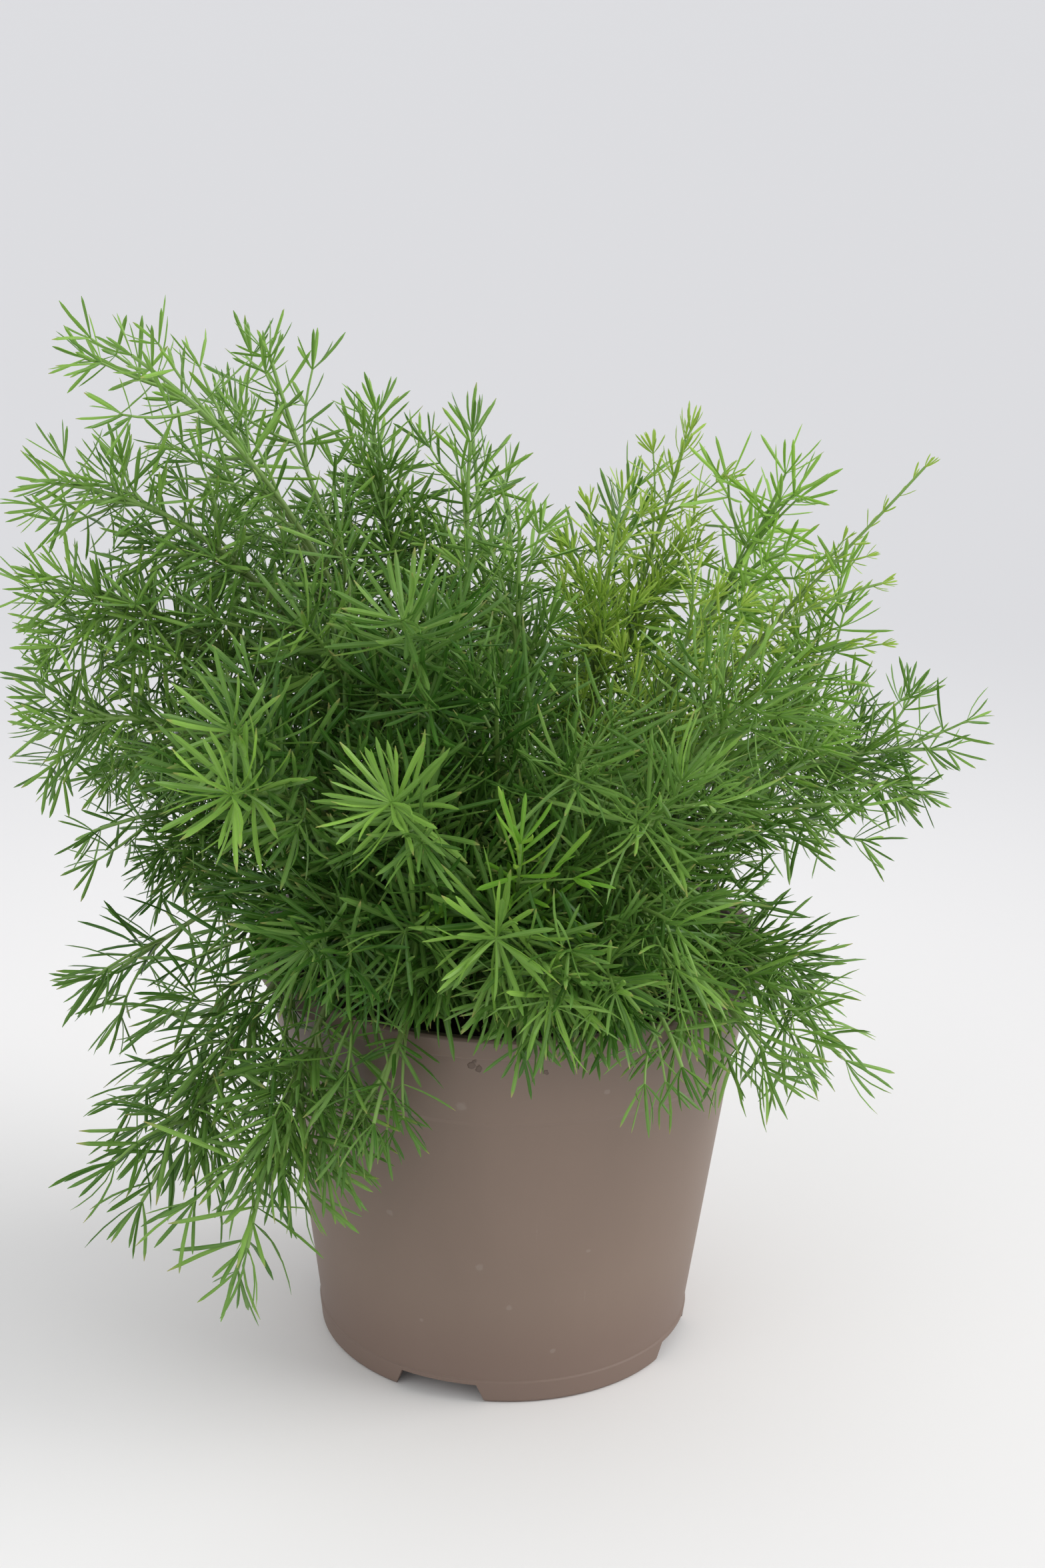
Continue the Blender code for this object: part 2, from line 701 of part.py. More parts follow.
def make_soil(shoots, material):
    """The soil that fills the pot, with a hole for each stem."""
    floor = CHANNEL_RISE + FLOOR_THICKNESS + GAP
    pad_top = FLOOR_THICKNESS + GAP
    edge = POT_HEIGHT - SOIL_DROP
    outline = [(0, pad_top), (PAD_RADIUS - 1 - GAP, pad_top)]
    outline += [(PAD_RADIUS + PAD_SLOPE - 1 - GAP, floor), (inner_radius(floor) - GAP, floor)]
    outline += [(inner_radius(edge) - GAP, edge)]
    outline += [(radius, edge) for radius in reversed(SOIL_RINGS)] + [(0, edge)]
    soil = turned("soil", outline, material)
    for vertex in soil.data.vertices:
        x, y, z = (value / MM for value in vertex.co)
        if z > edge - 1 and math.hypot(x, y) < inner_radius(edge) - 2:
            vertex.co.z = soil_height(x, y) * MM
    holes = new_collection("stem_holes")
    radius = STEM_RADIUS + GAP * math.sqrt(2)
    for shoot in shoots:
        top = soil_height(*shoot.root[:2])
        ends = (shoot.root + UP * (top - HOLE_DEPTH), shoot.root + UP * (top + HOLE_MOUTH))
        prism(shoot.name + "_hole", *ends, radius, STEM_SIDES, holes)
    apply_boolean(soil, holes, "DIFFERENCE")
    return soil


def plan_shoots():
    """The stems' curves and branchlets, settled before any mesh is made."""
    shoots = named_shoots()
    spread_roots(shoots)
    for shoot in shoots:
        shoot.bend()
        over_rim(shoot)
    part_stems(shoots)
    return shoots, grow_branchlets(shoots)


def main():
    for thing in list(bpy.data.objects):
        bpy.data.objects.remove(thing, do_unlink=True)
    plastic = paint("taupe_plastic", (0.202, 0.153, 0.127), 0.55)
    earth = paint("peat_soil", (0.030, 0.020, 0.014), 0.95)
    leaf = paint("needle_green", (0.075, 0.190, 0.030), 0.45)
    young_leaf = paint("young_needle_green", (0.210, 0.360, 0.045), 0.45)
    shoots, space = plan_shoots()
    grow_needles(shoots, space)
    make_pot(plastic)
    make_soil(shoots, earth)
    for shoot in shoots:
        make_shoot(shoot, young_leaf if shoot.young else leaf)


main()
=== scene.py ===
"""Dresses a potted sprengeri asparagus fern: its pot, its soil and its leafy stems.

The stems are planned as the solid model plans them, in millimetres, and each is then drawn
again with smooth curves, more side shoots and thousands of fine needles.
"""

import json
import math
from typing import NamedTuple

import bpy
import numpy as np
from bpy.props import FloatProperty, FloatVectorProperty, IntProperty, PointerProperty
from mathutils import Matrix, Vector

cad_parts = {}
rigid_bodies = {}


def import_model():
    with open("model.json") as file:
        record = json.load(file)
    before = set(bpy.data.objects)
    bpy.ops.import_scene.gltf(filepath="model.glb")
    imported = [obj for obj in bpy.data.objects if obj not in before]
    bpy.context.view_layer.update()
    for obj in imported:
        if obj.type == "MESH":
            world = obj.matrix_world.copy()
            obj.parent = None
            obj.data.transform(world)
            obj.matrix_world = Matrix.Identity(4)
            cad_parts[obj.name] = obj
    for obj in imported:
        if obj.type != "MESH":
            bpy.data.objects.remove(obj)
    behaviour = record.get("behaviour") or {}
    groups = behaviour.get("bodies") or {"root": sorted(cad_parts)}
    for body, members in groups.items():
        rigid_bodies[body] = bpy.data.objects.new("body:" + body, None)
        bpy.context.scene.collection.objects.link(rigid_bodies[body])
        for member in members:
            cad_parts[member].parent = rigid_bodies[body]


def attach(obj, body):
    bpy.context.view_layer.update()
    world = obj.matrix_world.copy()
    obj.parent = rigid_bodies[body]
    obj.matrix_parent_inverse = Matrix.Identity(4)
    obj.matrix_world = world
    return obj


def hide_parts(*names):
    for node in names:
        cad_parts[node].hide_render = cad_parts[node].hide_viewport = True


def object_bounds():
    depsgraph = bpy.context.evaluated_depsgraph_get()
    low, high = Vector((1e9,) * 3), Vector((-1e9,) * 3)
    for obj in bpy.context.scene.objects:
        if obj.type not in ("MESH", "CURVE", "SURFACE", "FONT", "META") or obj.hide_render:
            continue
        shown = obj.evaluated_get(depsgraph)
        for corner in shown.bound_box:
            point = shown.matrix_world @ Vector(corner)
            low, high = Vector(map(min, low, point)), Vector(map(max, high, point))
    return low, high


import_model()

bl_info = {
    "name": "Potted sprengeri asparagus fern",
    "version": (1, 0, 0),
    "blender": (4, 5, 0),
    "location": "3D View > Sidebar > Fern",
    "description": "Builds the pot, the soil and the needle-leaved stems of a potted fern",
    "category": "Object",
}

CAD_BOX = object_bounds()
MM = 0.001
UP = np.array([0.0, 0.0, 1.0])
GOLDEN_ANGLE = math.pi * (3 - math.sqrt(5))

# Pot: outer radii and heights
POT_HEIGHT = 107.0
RIM_RADIUS = 65.0
BEAD_HEIGHT = 5.0
BEAD_OVERHANG = 2.6
COLLAR_HEIGHT = 22.0
COLLAR_STEP = 0.9
COLLAR_FOOT_RADIUS = 59.4
COLLAR_DROP = 3.6
COLLAR_FLARE, WALL_FLARE = 0.187, 0.131
FOOT_RADIUS = 48.0
FOOT_SLOPE = 0.6
SKIRT_HEIGHT = 6.0
SKIRT_STEP = 0.4
EDGE_SLOPE = 0.7
WALL = 1.5
MOST_ROUNDING = 0.45
SHARP_ANGLE = math.radians(38)

# Pot underside: a flat centre pad, a raised channel with drain holes, and four notches
PAD_RADIUS = 18.0
FLOOR_THICKNESS = 1.8
CHANNEL_RISE = 5.2
PAD_SLOPE = 3.0
NOTCH_WIDTH = 24.0
NOTCH_NARROWING = 4.0
NOTCH_HEIGHT = 5.0
NOTCH_BEARING = 251.0
NOTCH_COUNT = 4
NOTCH_EASE, NOTCH_INNER, NOTCH_OUTER = 0.4, 9, 6
DRAIN_COUNT = 4
DRAIN_RADIUS = 5.0
DRAIN_CIRCLE = 33.0
DRAIN_BEARING = 20.0
DRAIN_SEGMENTS, DRUM_REACH = 32, 10.0

# Marks on the front of the pot: how far right and up each is, and its radius
POT_SOIL_BITS = ((-8.3, 98.9, 1.1), (-6.6, 98.2, 0.8), (9.2, 97.6, 0.6), (-7.6, 100.4, 0.5))
POT_DUST_SPOTS = ((-5.7, 40.7, 1.3), (1.9, 28.9, 1.0), (-10.7, 87.0, 1.6), (-28.0, 52.0, 1.1),
                  (21.0, 44.0, 0.7), (13.0, 15.0, 0.8), (-20.0, 22.0, 0.7), (24.0, 90.0, 0.9))

# How round the corners of the pot's outline are, counted from the middle of its underside
COLLAR_SOFTNESS = 1.3
POT_CORNERS = {1: 0.5, 2: 1.0, 3: 0.8, 5: 0.3, 6: 0.5, 7: 0.3, 8: 0.4, 9: 0.8, 10: 0.7, 11: 0.8,
               12: 0.6, 13: 0.6, 14: 0.7, 15: 0.6, 16: 2.0, 17: 1.0, 18: 1.0}

# Soil
GAP = 0.3
SOIL_DROP = 7.0
SOIL_MOUND = 3.0
SOIL_LUMP, SOIL_FADE = 0.9, 12
SOIL_RIPPLE = 0.35
SOIL_RINGS, SOIL_SEGMENTS = 30, 96
HOLE_DEPTH = 8.5

# Stems: a cubic curve each, its control points set as shares of the span from root to tip
STEM_RADIUS = 1.1
STEM_SPANS = 5
STEM_SPACING = 3.4
STEM_START = 1.5
STEM_RISE = 0.42
STEM_LEAN = 0.14
HANGING_RISE = 0.22
TIP_PULL = 0.34
RIM_CLEARANCE = 3.5
ROOT_SPACING = 6.2
ROOT_INNER, ROOT_OUTER = 7.0, 38.0
ROOT_CURVE = 1.5

# How roots and stems are pushed apart, and how a hanging stem is lifted over the rim
ROOT_ROUNDS, ROOT_PUSH = 200, 0.3
STEM_ROUNDS, STEM_PUSH, STEM_ROOM = 60, 0.35, 1.6
STEM_CHECKS = np.linspace(0.08, 1, 15)
RIM_ROUNDS, RIM_LIFT, RIM_PUSH, RIM_DEPTH = 30, 4, 1.5, 14
RIM_CHECKS = np.linspace(0, 1, 40)

# Main branchlets: the leafy part of a stem starts and ends at shares of its length
BRANCHLET_RADIUS = 0.8
BRANCHLET_SPLAY = math.radians(52)
BRANCHLET_BEND = 0.55
BRANCHLET_DROOP = 0.12
BRANCHLET_SPACING = 35.0
BRANCHLET_TURN = 1.3
BRANCHLET_TURNS = np.radians((0, 30, -30, 60, -60, 95, -95, 140))
BRANCHLET_SHRINK = (1.15, 0.6)
BRANCHLET_SIZES = (1.0, 0.75, 0.5)
BRANCHLET_MARGIN, BRANCHLET_CHECKS = 0.6, np.linspace(0, 1, 8)
LEAF_ZONE = (0.24, 0.97)
MOST_BRANCHLETS, MOST_ON_THIN = 4, 2
END_NEEDLE = 0.6
CLEARANCE = 0.45
INNER_CLEARANCE, SOIL_CLEARANCE = 8, 0.3
LOWEST_FOLIAGE = 12.0

# Each group of stems: needle length, branchlet length, and whether it is young growth
GROUPS = {
    "front_shoot": (17.5, 27.0, False),
    "rim_shoot": (16.5, 24.0, False),
    "hanging_shoot": (16.0, 32.0, False),
    "left_shoot": (14.5, 30.0, False),
    "crown_shoot": (15.0, 28.0, False),
    "right_shoot": (15.0, 30.0, False),
    "young_shoot": (10.0, 26.0, True),
    "thin_young_shoot": (6.0, 12.0, True),
    "back_shoot": (15.0, 30.0, False),
}

# The end of each stem (x, y, z) and its heading there (bearing, pitch in degrees)
TIPS = {
    "front_shoot": [
        (-27, -75, 169, 262, 25), (-26, -50, 204, 262, 40), (-64, -60, 180, 252, 25),
        (-63, -72, 169, 258, 12), (-50, -22, 194, 225, 45), (-3, -85, 141, 268, 5), (16, -60, 178, 285, 45),
        (58, -32, 184, 325, 45), (38, -64, 172, 295, 60), (38, -72, 140, 300, 0), (-46, -72, 132, 245, -10),
        (-24, -70, 136, 255, 0), (-4, -40, 186, 275, 60), (-30, -50, 126, 250, 25), (12, -50, 132, 280, 30),
        (42, -38, 130, 320, 25),
    ],
    "rim_shoot": [
        (10, -92, 128, 275, -15), (24, -86, 129, 285, -15), (40, -79, 108, 298, -50),
        (74, -38, 101, 335, -18), (61, -54, 101, 318, -35),
    ],
    "hanging_shoot": [
        (-87, -59, 60, 214, -50), (-60, -75, 57, 238, -68), (-30, -83, 94, 256, -50),
        (-90, -44, 81, 205, -35), (-103, 10, 90, 176, -35),
    ],
    "left_shoot": [
        (-114, -20, 166, 190, -15), (-116, -14, 199, 205, 8), (-102, -14, 197, 225, 25),
        (-112, -8, 224, 184, 5), (-92, -8, 255, 185, 35), (-108, 24, 248, 178, 12), (-63, 26, 250, 150, 70),
        (-104, 34, 138, 162, -20), (-110, 26, 123, 170, -25),
    ],
    "crown_shoot": [
        (-38, 40, 229, 115, 70), (-13, 30, 228, 80, 75), (0, -12, 216, 270, 80), (-74, 50, 230, 130, 60),
    ],
    "right_shoot": [
        (64, 14, 219, 300, 50), (114, 42, 146, 20, -5), (98, 46, 140, 24, -8), (74, 6, 164, 355, 15),
        (84, -10, 148, 350, 0),
    ],
    "young_shoot": [
        (2, -80, 162, 275, 70), (41, 34, 229, 40, 70), (25, 12, 220, 50, 75), (48, -6, 200, 340, 60),
    ],
    "thin_young_shoot": [
        (97, 0, 231, 0, 52), (88, -4, 203, 352, 15), (86, 6, 186, 5, 8),
    ],
}
BACK_BEARINGS = (46, 68, 92, 116, 142, 60, 104)
BACK_REACH = (94, 90, 96, 92, 92, 58, 54)
BACK_HEIGHTS = (190, 144, 196, 148, 206, 212, 226)
BACK_PITCH = (25, -20, 25, -20, 30, 55, 60)


class Look(NamedTuple):
    """How a stem looks up close, mostly as factors on the foliage settings."""

    spacing: float
    tuft: int
    side_spacing: float
    length: float
    width: float
    splay: float
    curl: float
    reach: float
    lightness: float
    head: bool = False


# Looks of whole groups and of single stems, their values in the order of Look's fields
LOOKS = {
    "front_shoot": Look(0.9, 3, 1.0, 1.1, 0.96, 1.0, 1.0, 0.95, 0.16, True),
    "front_shoot_02": Look(0.9, 3, 1.0, 1.1, 0.96, 1.0, 1.0, 0.95, -0.04, True),
    "front_shoot_06": Look(0.9, 3, 1.0, 1.1, 0.96, 1.0, 1.0, 0.95, 0.06, True),
    "rim_shoot": Look(0.95, 3, 0.9, 1.0, 0.94, 1.0, 1.0, 0.95, 0.03, True),
    "rim_shoot_03": Look(2.8, 3, 1.6, 0.95, 0.76, 1.25, 1.5, 0.55, 0.0),
    "rim_shoot_04": Look(2.2, 4, 1.6, 1.2, 0.76, 1.3, 1.5, 0.55, 0.03),
    "rim_shoot_05": Look(1.9, 4, 1.5, 1.3, 0.76, 1.3, 1.5, 0.7, 0.03),
    "hanging_shoot": Look(2.2, 4, 1.5, 1.3, 0.84, 1.12, 1.3, 0.68, -0.02),
    "hanging_shoot_03": Look(2.8, 4, 2.0, 0.95, 0.84, 1.1, 1.0, 0.45, -0.2),
    "hanging_shoot_05": Look(2.8, 4, 2.0, 1.2, 0.84, 1.1, 1.2, 0.5, -0.04),
    "left_shoot": Look(1.85, 4, 0.7, 1.08, 0.86, 1.22, 0.6, 0.68, 0.2),
    "left_shoot_05": Look(2.7, 4, 1.1, 1.08, 0.86, 1.22, 0.6, 0.6, 0.14),
    "left_shoot_06": Look(3.0, 4, 1.7, 1.08, 0.86, 1.22, 0.6, 0.45, 0.14),
    "left_shoot_07": Look(2.5, 4, 1.2, 1.08, 0.86, 1.22, 0.6, 0.45, 0.14),
    "left_shoot_08": Look(1.4, 4, 0.55, 1.05, 0.82, 1.2, 0.6, 0.8, 0.04),
    "left_shoot_09": Look(1.4, 4, 0.55, 1.05, 0.82, 1.2, 0.6, 0.68, 0.04),
    "crown_shoot": Look(1.7, 4, 0.75, 1.08, 0.86, 1.22, 0.6, 0.75, 0.3),
    "crown_shoot_04": Look(2.8, 4, 1.3, 1.08, 0.86, 1.22, 0.6, 0.6, 0.08),
    "right_shoot": Look(1.7, 4, 0.85, 1.08, 0.82, 1.18, 0.8, 0.75, 0.03),
    "right_shoot_01": Look(2.4, 4, 1.5, 1.2, 0.84, 1.3, 0.6, 0.6, 0.24),
    "right_shoot_02": Look(1.7, 4, 0.75, 1.0, 0.78, 1.15, 0.8, 0.65, 0.02),
    "right_shoot_03": Look(1.7, 4, 0.85, 1.0, 0.78, 1.15, 0.8, 0.75, 0.02),
    "young_shoot": Look(1.5, 4, 1.0, 1.0, 0.82, 1.25, 0.8, 0.75, 0.3),
    "young_shoot_01": Look(3.0, 3, 9.0, 1.5, 1.0, 1.0, 1.0, 0.95, -0.26, True),
    "thin_young_shoot": Look(1.4, 3, 1.0, 1.0, 0.75, 1.0, 0.6, 0.7, 0.2),
    "back_shoot": Look(1.35, 4, 1.0, 1.05, 0.86, 1.15, 1.0, 0.85, 0.06),
    "back_shoot_01": Look(1.8, 4, 1.0, 1.05, 0.86, 1.15, 1.0, 0.65, 0.1),
    "back_shoot_03": Look(2.6, 4, 1.0, 1.05, 0.86, 1.15, 1.0, 0.4, 0.1),
    "back_shoot_07": Look(2.2, 4, 1.0, 1.05, 0.86, 1.15, 1.0, 0.6, 0.1),
}
LOOSE_FRONT = Look(1.5, 4, 1.0, 1.3, 0.74, 1.15, 1.9, 0.95, 0.03)
# Lower front stems, painted darker as painted shade from the foliage above them
SHADED_FRONT = Look(0.9, 3, 1.0, 1.1, 0.94, 1.0, 1.0, 0.95, -0.06, True)
LOOKS |= {f"front_shoot_{number:02d}": LOOSE_FRONT for number in (7, 8, 9, 10, 13, 16)}
LOOKS |= {f"front_shoot_{number:02d}": SHADED_FRONT for number in (11, 12, 14)}

# Longer side shoots: the stem that each grows from and where its needles end (x, y, z)
SPRAYS = {
    "front_shoot_11": [(-37, -72, 115), (-68, -50, 143), (-56, -60, 139)],
    "front_shoot_12": [(-26, -74, 114), (-25, -78, 117), (-15, -80, 116)],
    "front_shoot_13": [(10, -34, 189), (4, -36, 180)],
    "front_shoot_14": [(-25, -66, 117), (-17, -66, 117)],
    "front_shoot_15": [(-3, -76, 112), (4, -70, 113)],
    "rim_shoot_01": [(6, -88, 110), (-3, -88, 116), (1, -90, 106), (12, -90, 113), (-9, -88, 120)],
    "rim_shoot_02": [(18, -87, 110), (27, -88, 114), (25, -86, 115), (34, -82, 114), (21, -86, 120),
        (30, -84, 119)],
    "rim_shoot_03": [(40, -74, 91)],
    "rim_shoot_04": [(92, -40, 83), (83, -24, 114), (77, -20, 105), (70, -24, 105), (78, -22, 108),
        (80, -34, 106), (77, -38, 100), (82, -30, 110), (84, -32, 105), (81, -36, 102), (79, -30, 108)],
    "rim_shoot_05": [(59, -58, 89), (69, -54, 83), (50, -58, 99), (54, -62, 108), (44, -68, 109),
        (51, -64, 112), (61, -58, 111)],
    "hanging_shoot_01": [(-98, -58, 70), (-72, -66, 68), (-81, -60, 86), (-63, -66, 82), (-58, -66, 75),
        (-89, -60, 67), (-81, -62, 63), (-95, -58, 64), (-74, -66, 64)],
    "hanging_shoot_02": [(-66, -76, 37), (-56, -74, 64), (-43, -72, 56), (-34, -74, 68), (-55, -76, 77),
        (-62, -72, 68), (-51, -74, 71), (-40, -74, 77), (-29, -76, 80), (-65, -74, 60), (-53, -74, 60),
        (-40, -74, 71), (-27, -76, 81), (-45, -76, 70), (-37, -76, 65), (-56, -74, 70), (-70, -72, 66)],
    "hanging_shoot_03": [(-37, -76, 81), (-24, -80, 83), (-29, -78, 79)],
    "hanging_shoot_04": [(-93, -40, 94), (-80, -52, 75), (-70, -56, 88), (-67, -54, 101), (-72, -16, 125),
        (-79, -10, 129), (-65, -24, 116), (-61, -34, 106)],
    "hanging_shoot_05": [(-116, 6, 84), (-107, 2, 70)],
    "left_shoot_01": [(-125, -14, 170), (-122, -8, 147), (-109, 0, 146), (-121, -14, 186), (-86, -8, 158),
        (-78, -6, 170), (-97, -10, 169), (-93, -6, 147), (-123, -14, 178), (-108, -12, 168),
        (-104, -12, 178), (-108, -4, 143), (-118, -6, 143), (-103, -2, 144), (-105, -4, 150),
        (-122, -14, 182), (-122, -12, 166)],
    "left_shoot_02": [(-124, -14, 190), (-119, -12, 206), (-109, -12, 190), (-98, -8, 199), (-89, -4, 203),
        (-101, -8, 185), (-123, -12, 203), (-107, -12, 180), (-123, -12, 205), (-121, -14, 186),
        (-117, -14, 183), (-119, -14, 188), (-123, -14, 196)],
    "left_shoot_03": [(-115, -18, 178), (-101, -12, 178), (-88, -8, 186), (-77, -6, 190), (-84, -8, 177),
        (-93, -8, 197), (-71, -6, 179)],
    "left_shoot_04": [(-116, -6, 237), (-101, -2, 233), (-124, -10, 218), (-93, -4, 221), (-96, -6, 210),
        (-85, -4, 206), (-108, -6, 229), (-87, 0, 227), (-104, -8, 204), (-104, -4, 234), (-119, -8, 228),
        (-99, 0, 210), (-101, -2, 238), (-101, -4, 213), (-96, 0, 212), (-98, -2, 215)],
    "left_shoot_05": [(-92, -6, 266), (-82, 2, 260), (-77, 0, 229), (-87, 0, 233), (-92, -2, 227),
        (-82, 0, 214)],
    "left_shoot_06": [(-115, 22, 259), (-78, 6, 204), (-73, 4, 193)],
    "left_shoot_07": [(-52, 30, 256), (-68, 26, 255)],
    "left_shoot_08": [(-115, 26, 137), (-107, 24, 149), (-94, 20, 152), (-80, 14, 151), (-73, 8, 167),
        (-101, 20, 163), (-87, 14, 162), (-109, 24, 147), (-98, 20, 141), (-93, 16, 114), (-80, 6, 109)],
    "left_shoot_09": [(-101, 20, 110), (-89, 10, 118), (-79, -4, 118), (-97, 20, 132), (-82, 12, 134),
        (-74, 0, 129), (-92, 18, 106), (-85, 12, 125), (-70, -6, 117), (-96, 14, 101), (-74, 0, 106),
        (-84, 8, 106), (-93, 18, 111), (-85, 10, 113), (-99, 22, 115), (-101, 20, 115), (-96, 16, 112),
        (-91, 14, 116), (-83, 8, 112), (-72, -4, 109), (-89, 14, 120)],
    "crown_shoot_01": [(-43, 40, 238), (-35, 36, 230), (-27, 30, 215), (-29, 10, 201), (-41, 36, 223),
        (-37, 34, 217), (-24, 26, 207), (-48, 40, 236), (-58, 34, 209), (-38, 42, 243), (-45, 38, 230),
        (-40, 36, 227), (-27, 30, 221), (-59, 34, 216), (-56, 30, 214)],
    "crown_shoot_02": [(-16, 30, 232), (-22, 26, 210), (-20, 14, 198), (-29, 24, 213), (-13, 20, 207)],
    "crown_shoot_03": [(7, -6, 225), (-10, -10, 221), (11, -12, 203), (7, -10, 202), (8, -10, 194)],
    "crown_shoot_04": [(-69, 48, 256), (-82, 44, 241), (-82, 40, 207)],
    "young_shoot_02": [(33, 32, 233), (43, 20, 210), (37, 14, 201), (44, 34, 238), (45, 20, 215),
        (48, 24, 209), (40, 22, 208), (47, 26, 217), (50, 20, 205)],
    "young_shoot_03": [(16, 12, 223), (11, 6, 211), (9, 2, 204), (20, 0, 203), (8, 6, 211), (13, 0, 199),
        (30, 2, 199), (10, 6, 214), (7, 6, 206), (15, 2, 206)],
    "young_shoot_04": [(40, -10, 221), (58, -10, 203), (25, -10, 192)],
    "right_shoot_01": [(74, 10, 228), (69, 12, 236), (73, 6, 213), (62, 4, 204), (77, 4, 205), (60, 8, 219),
        (73, 10, 230)],
    "right_shoot_02": [(128, 44, 157), (110, 46, 166), (98, 46, 156)],
    "right_shoot_03": [(98, 46, 156), (108, 40, 132), (90, 36, 152), (93, 34, 138), (81, 36, 159),
        (98, 38, 146), (111, 40, 136), (107, 42, 145), (96, 46, 163), (111, 38, 130), (117, 40, 132),
        (94, 46, 167)],
    "right_shoot_04": [(80, 4, 179), (72, 6, 185), (88, 6, 167), (76, 4, 191), (75, 4, 172), (79, 6, 201),
        (73, 6, 197), (85, 6, 177), (83, 4, 213), (85, 6, 202)],
    "right_shoot_05": [(70, -14, 145)],
    "thin_young_shoot_01": [(81, 2, 215)],
    "thin_young_shoot_02": [(76, -2, 201)],
    "thin_young_shoot_03": [(94, 6, 186), (78, 4, 190)],
    "back_shoot_01": [(80, 60, 168), (52, 72, 176)],
    "back_shoot_02": [(48, 84, 124), (22, 92, 130)],
    "back_shoot_04": [(-52, 84, 126), (-26, 90, 132)],
    "back_shoot_05": [(-84, 50, 186), (-66, 66, 170), (-74, 44, 152), (-56, 50, 160)],
}

# Fine stems and side shoots
STEM_STEPS = 16
BRANCHLET_STEPS = 5
TWIG_SIDES = 6
FINE_STEM_RADII = (1.05, 0.45)
FINE_BRANCHLET_RADII = (0.5, 0.28)
SIDE_SHOOT_THINNING = 0.85
YOUNG_THINNING = 0.72
SIDE_SHOOT_START = 0.1
SIDE_SHOOT_SPREAD = math.radians(58)
SIDE_SHOOT_BEND = 0.5
SIDE_SHOOT_DROOP = 0.1
SIDE_SHOOT_UNEVENNESS = (0.12, 0.1)
SIDE_SHOOT_SHRINK = (1.1, 0.75)
SIDE_SHOOT_SIZES = (0.65, 1.0)
SIDE_SHOOT_PLACES = (0.2, 0.8)
SIDE_SHOOT_TURNS = np.radians((0, 50, -50, 100, -100, 150))
LEAST_APART = 2.5
SPRAY_LENGTH, SPRAY_TURN = 36.0, math.radians(40)
SPRAY_BULGE, SPRAY_END = 0.14, 0.66
SPRAY_BASES = np.linspace(0.15, 0.94, 40)
POT_CLEARANCE, BOX_CLEARANCE = 2.0, 4.0

# Tufts of needles along a twig, in the dense head of some stems and in the star at each end
NEEDLE_ZONE_START, BRANCHLET_ZONE_START, TWIG_ZONE_START = 0.12, 0.1, 0.08
TWIG_FULLNESS = 0.95
TUFT_END_GAP, STAR_END_GAP = 0.4, 0.2
TUFT_SHRINK = 0.3
NEEDLE_FAN = math.radians(62)
NEEDLE_UNEVENNESS = (0.22, 0.13, 0.7)
NEEDLE_SIZES = (0.76, 1.14)
NEEDLE_CURL, CURL_UNEVENNESS = 0.2, 0.13
SPLAY_START, SPLAY_END, SPLAY_POWER = math.radians(74), math.radians(48), 1.6
HEAD_LENGTH, MOST_HEAD = 17.0, 0.3
HEAD_SPACING = 0.4
# Painted light: head needles are lighter by this much, and the other needles of a stem with a head are
# darker by it, as painted shade
HEAD_PAINTED_LIGHT = 0.11
HEAD_FAN = math.radians(120)
HEAD_UNEVENNESS = 0.5
HEAD_SPLAY, HEAD_END_SPLAY = math.radians(84), math.radians(50)
HEAD_END_SIZE = 0.9
STAR_SPLAY, STAR_SIZE, STAR_NEEDLES = math.radians(34), 0.72, 6
YOUNG_SPLAY = 0.72
NEEDLE_CHECKS = (0.35, 0.7, 1.0)
USUAL_NEEDLE = 16 * MM
BLADE_PROFILE = ((0, 0.4), (0.25, 0.86), (0.5, 1.0), (0.75, 0.9), (1, 0.16))
NEEDLE_CLEARANCE = 0.5
FOLIAGE_MARGIN = np.array([2.5, 2.5, 5.0])

# Needles deep inside the plant are painted darker, as painted shade, and those high up on its right are
# younger
HEART = np.array([-25.0, 5.0, 150.0])
HEART_REACH = 105.0
HEART_PAINTED_SHADE = 0.42
YOUTH_LIGHTNESS = 0.24
YOUTH_RIGHT, YOUTH_HEIGHT = (10, 70), (110, 190)
STEM_LIGHTNESS_SPREAD = 0.08

# Camera: where it stands and looks, read from the pot's ellipses, with its roll
CAMERA_DISTANCE = 0.700
CAMERA_ELEVATION = math.radians(19.2)
CAMERA_ROLL = math.radians(1.35)
CAMERA_AIM = (0.0021, 0.0, 0.148)
CAMERA_LENS = 64.3

# Floor, lights and sky: each light's spread in degrees, its colour and where it shines from
FLOOR_REACH, FLOOR_DEPTH = 14, 0.0001
WINDOW_LIGHT = (39, (1.0, 0.985, 0.965), (2.3, -0.28, 1.58))
ROOM_LIGHT = (45, (1.0, 0.99, 0.98), (-1.65, -2.0, 1.76))
SKY_COLOUR = (0.97, 0.98, 1.0, 1.0)


def direction(bearing, pitch):
    """Unit vector from a bearing, turned from +X to +Y, and a pitch above level, in degrees."""
    level = math.cos(math.radians(pitch))
    turn = math.radians(bearing)
    return np.array([level * math.cos(turn), level * math.sin(turn), math.sin(math.radians(pitch))])


def unit(vector):
    return vector / np.linalg.norm(vector, axis=-1, keepdims=True)


def outward(point):
    """Unit vector level from the pot's axis towards a point."""
    return unit(point * (1, 1, 0))


def between(first, last, share):
    return first + (last - first) * share


def turned(way, side, angle):
    """A unit vector turned by an angle towards another that is square to it."""
    return math.cos(angle) * way + math.sin(angle) * side


def curve(start, control, end, steps):
    """Points along a curve between two ends, drawn towards a control point."""
    t = np.linspace(0, 1, steps + 1)[:, None]
    return (1 - t) ** 2 * start + 2 * (1 - t) * t * control + t ** 2 * end


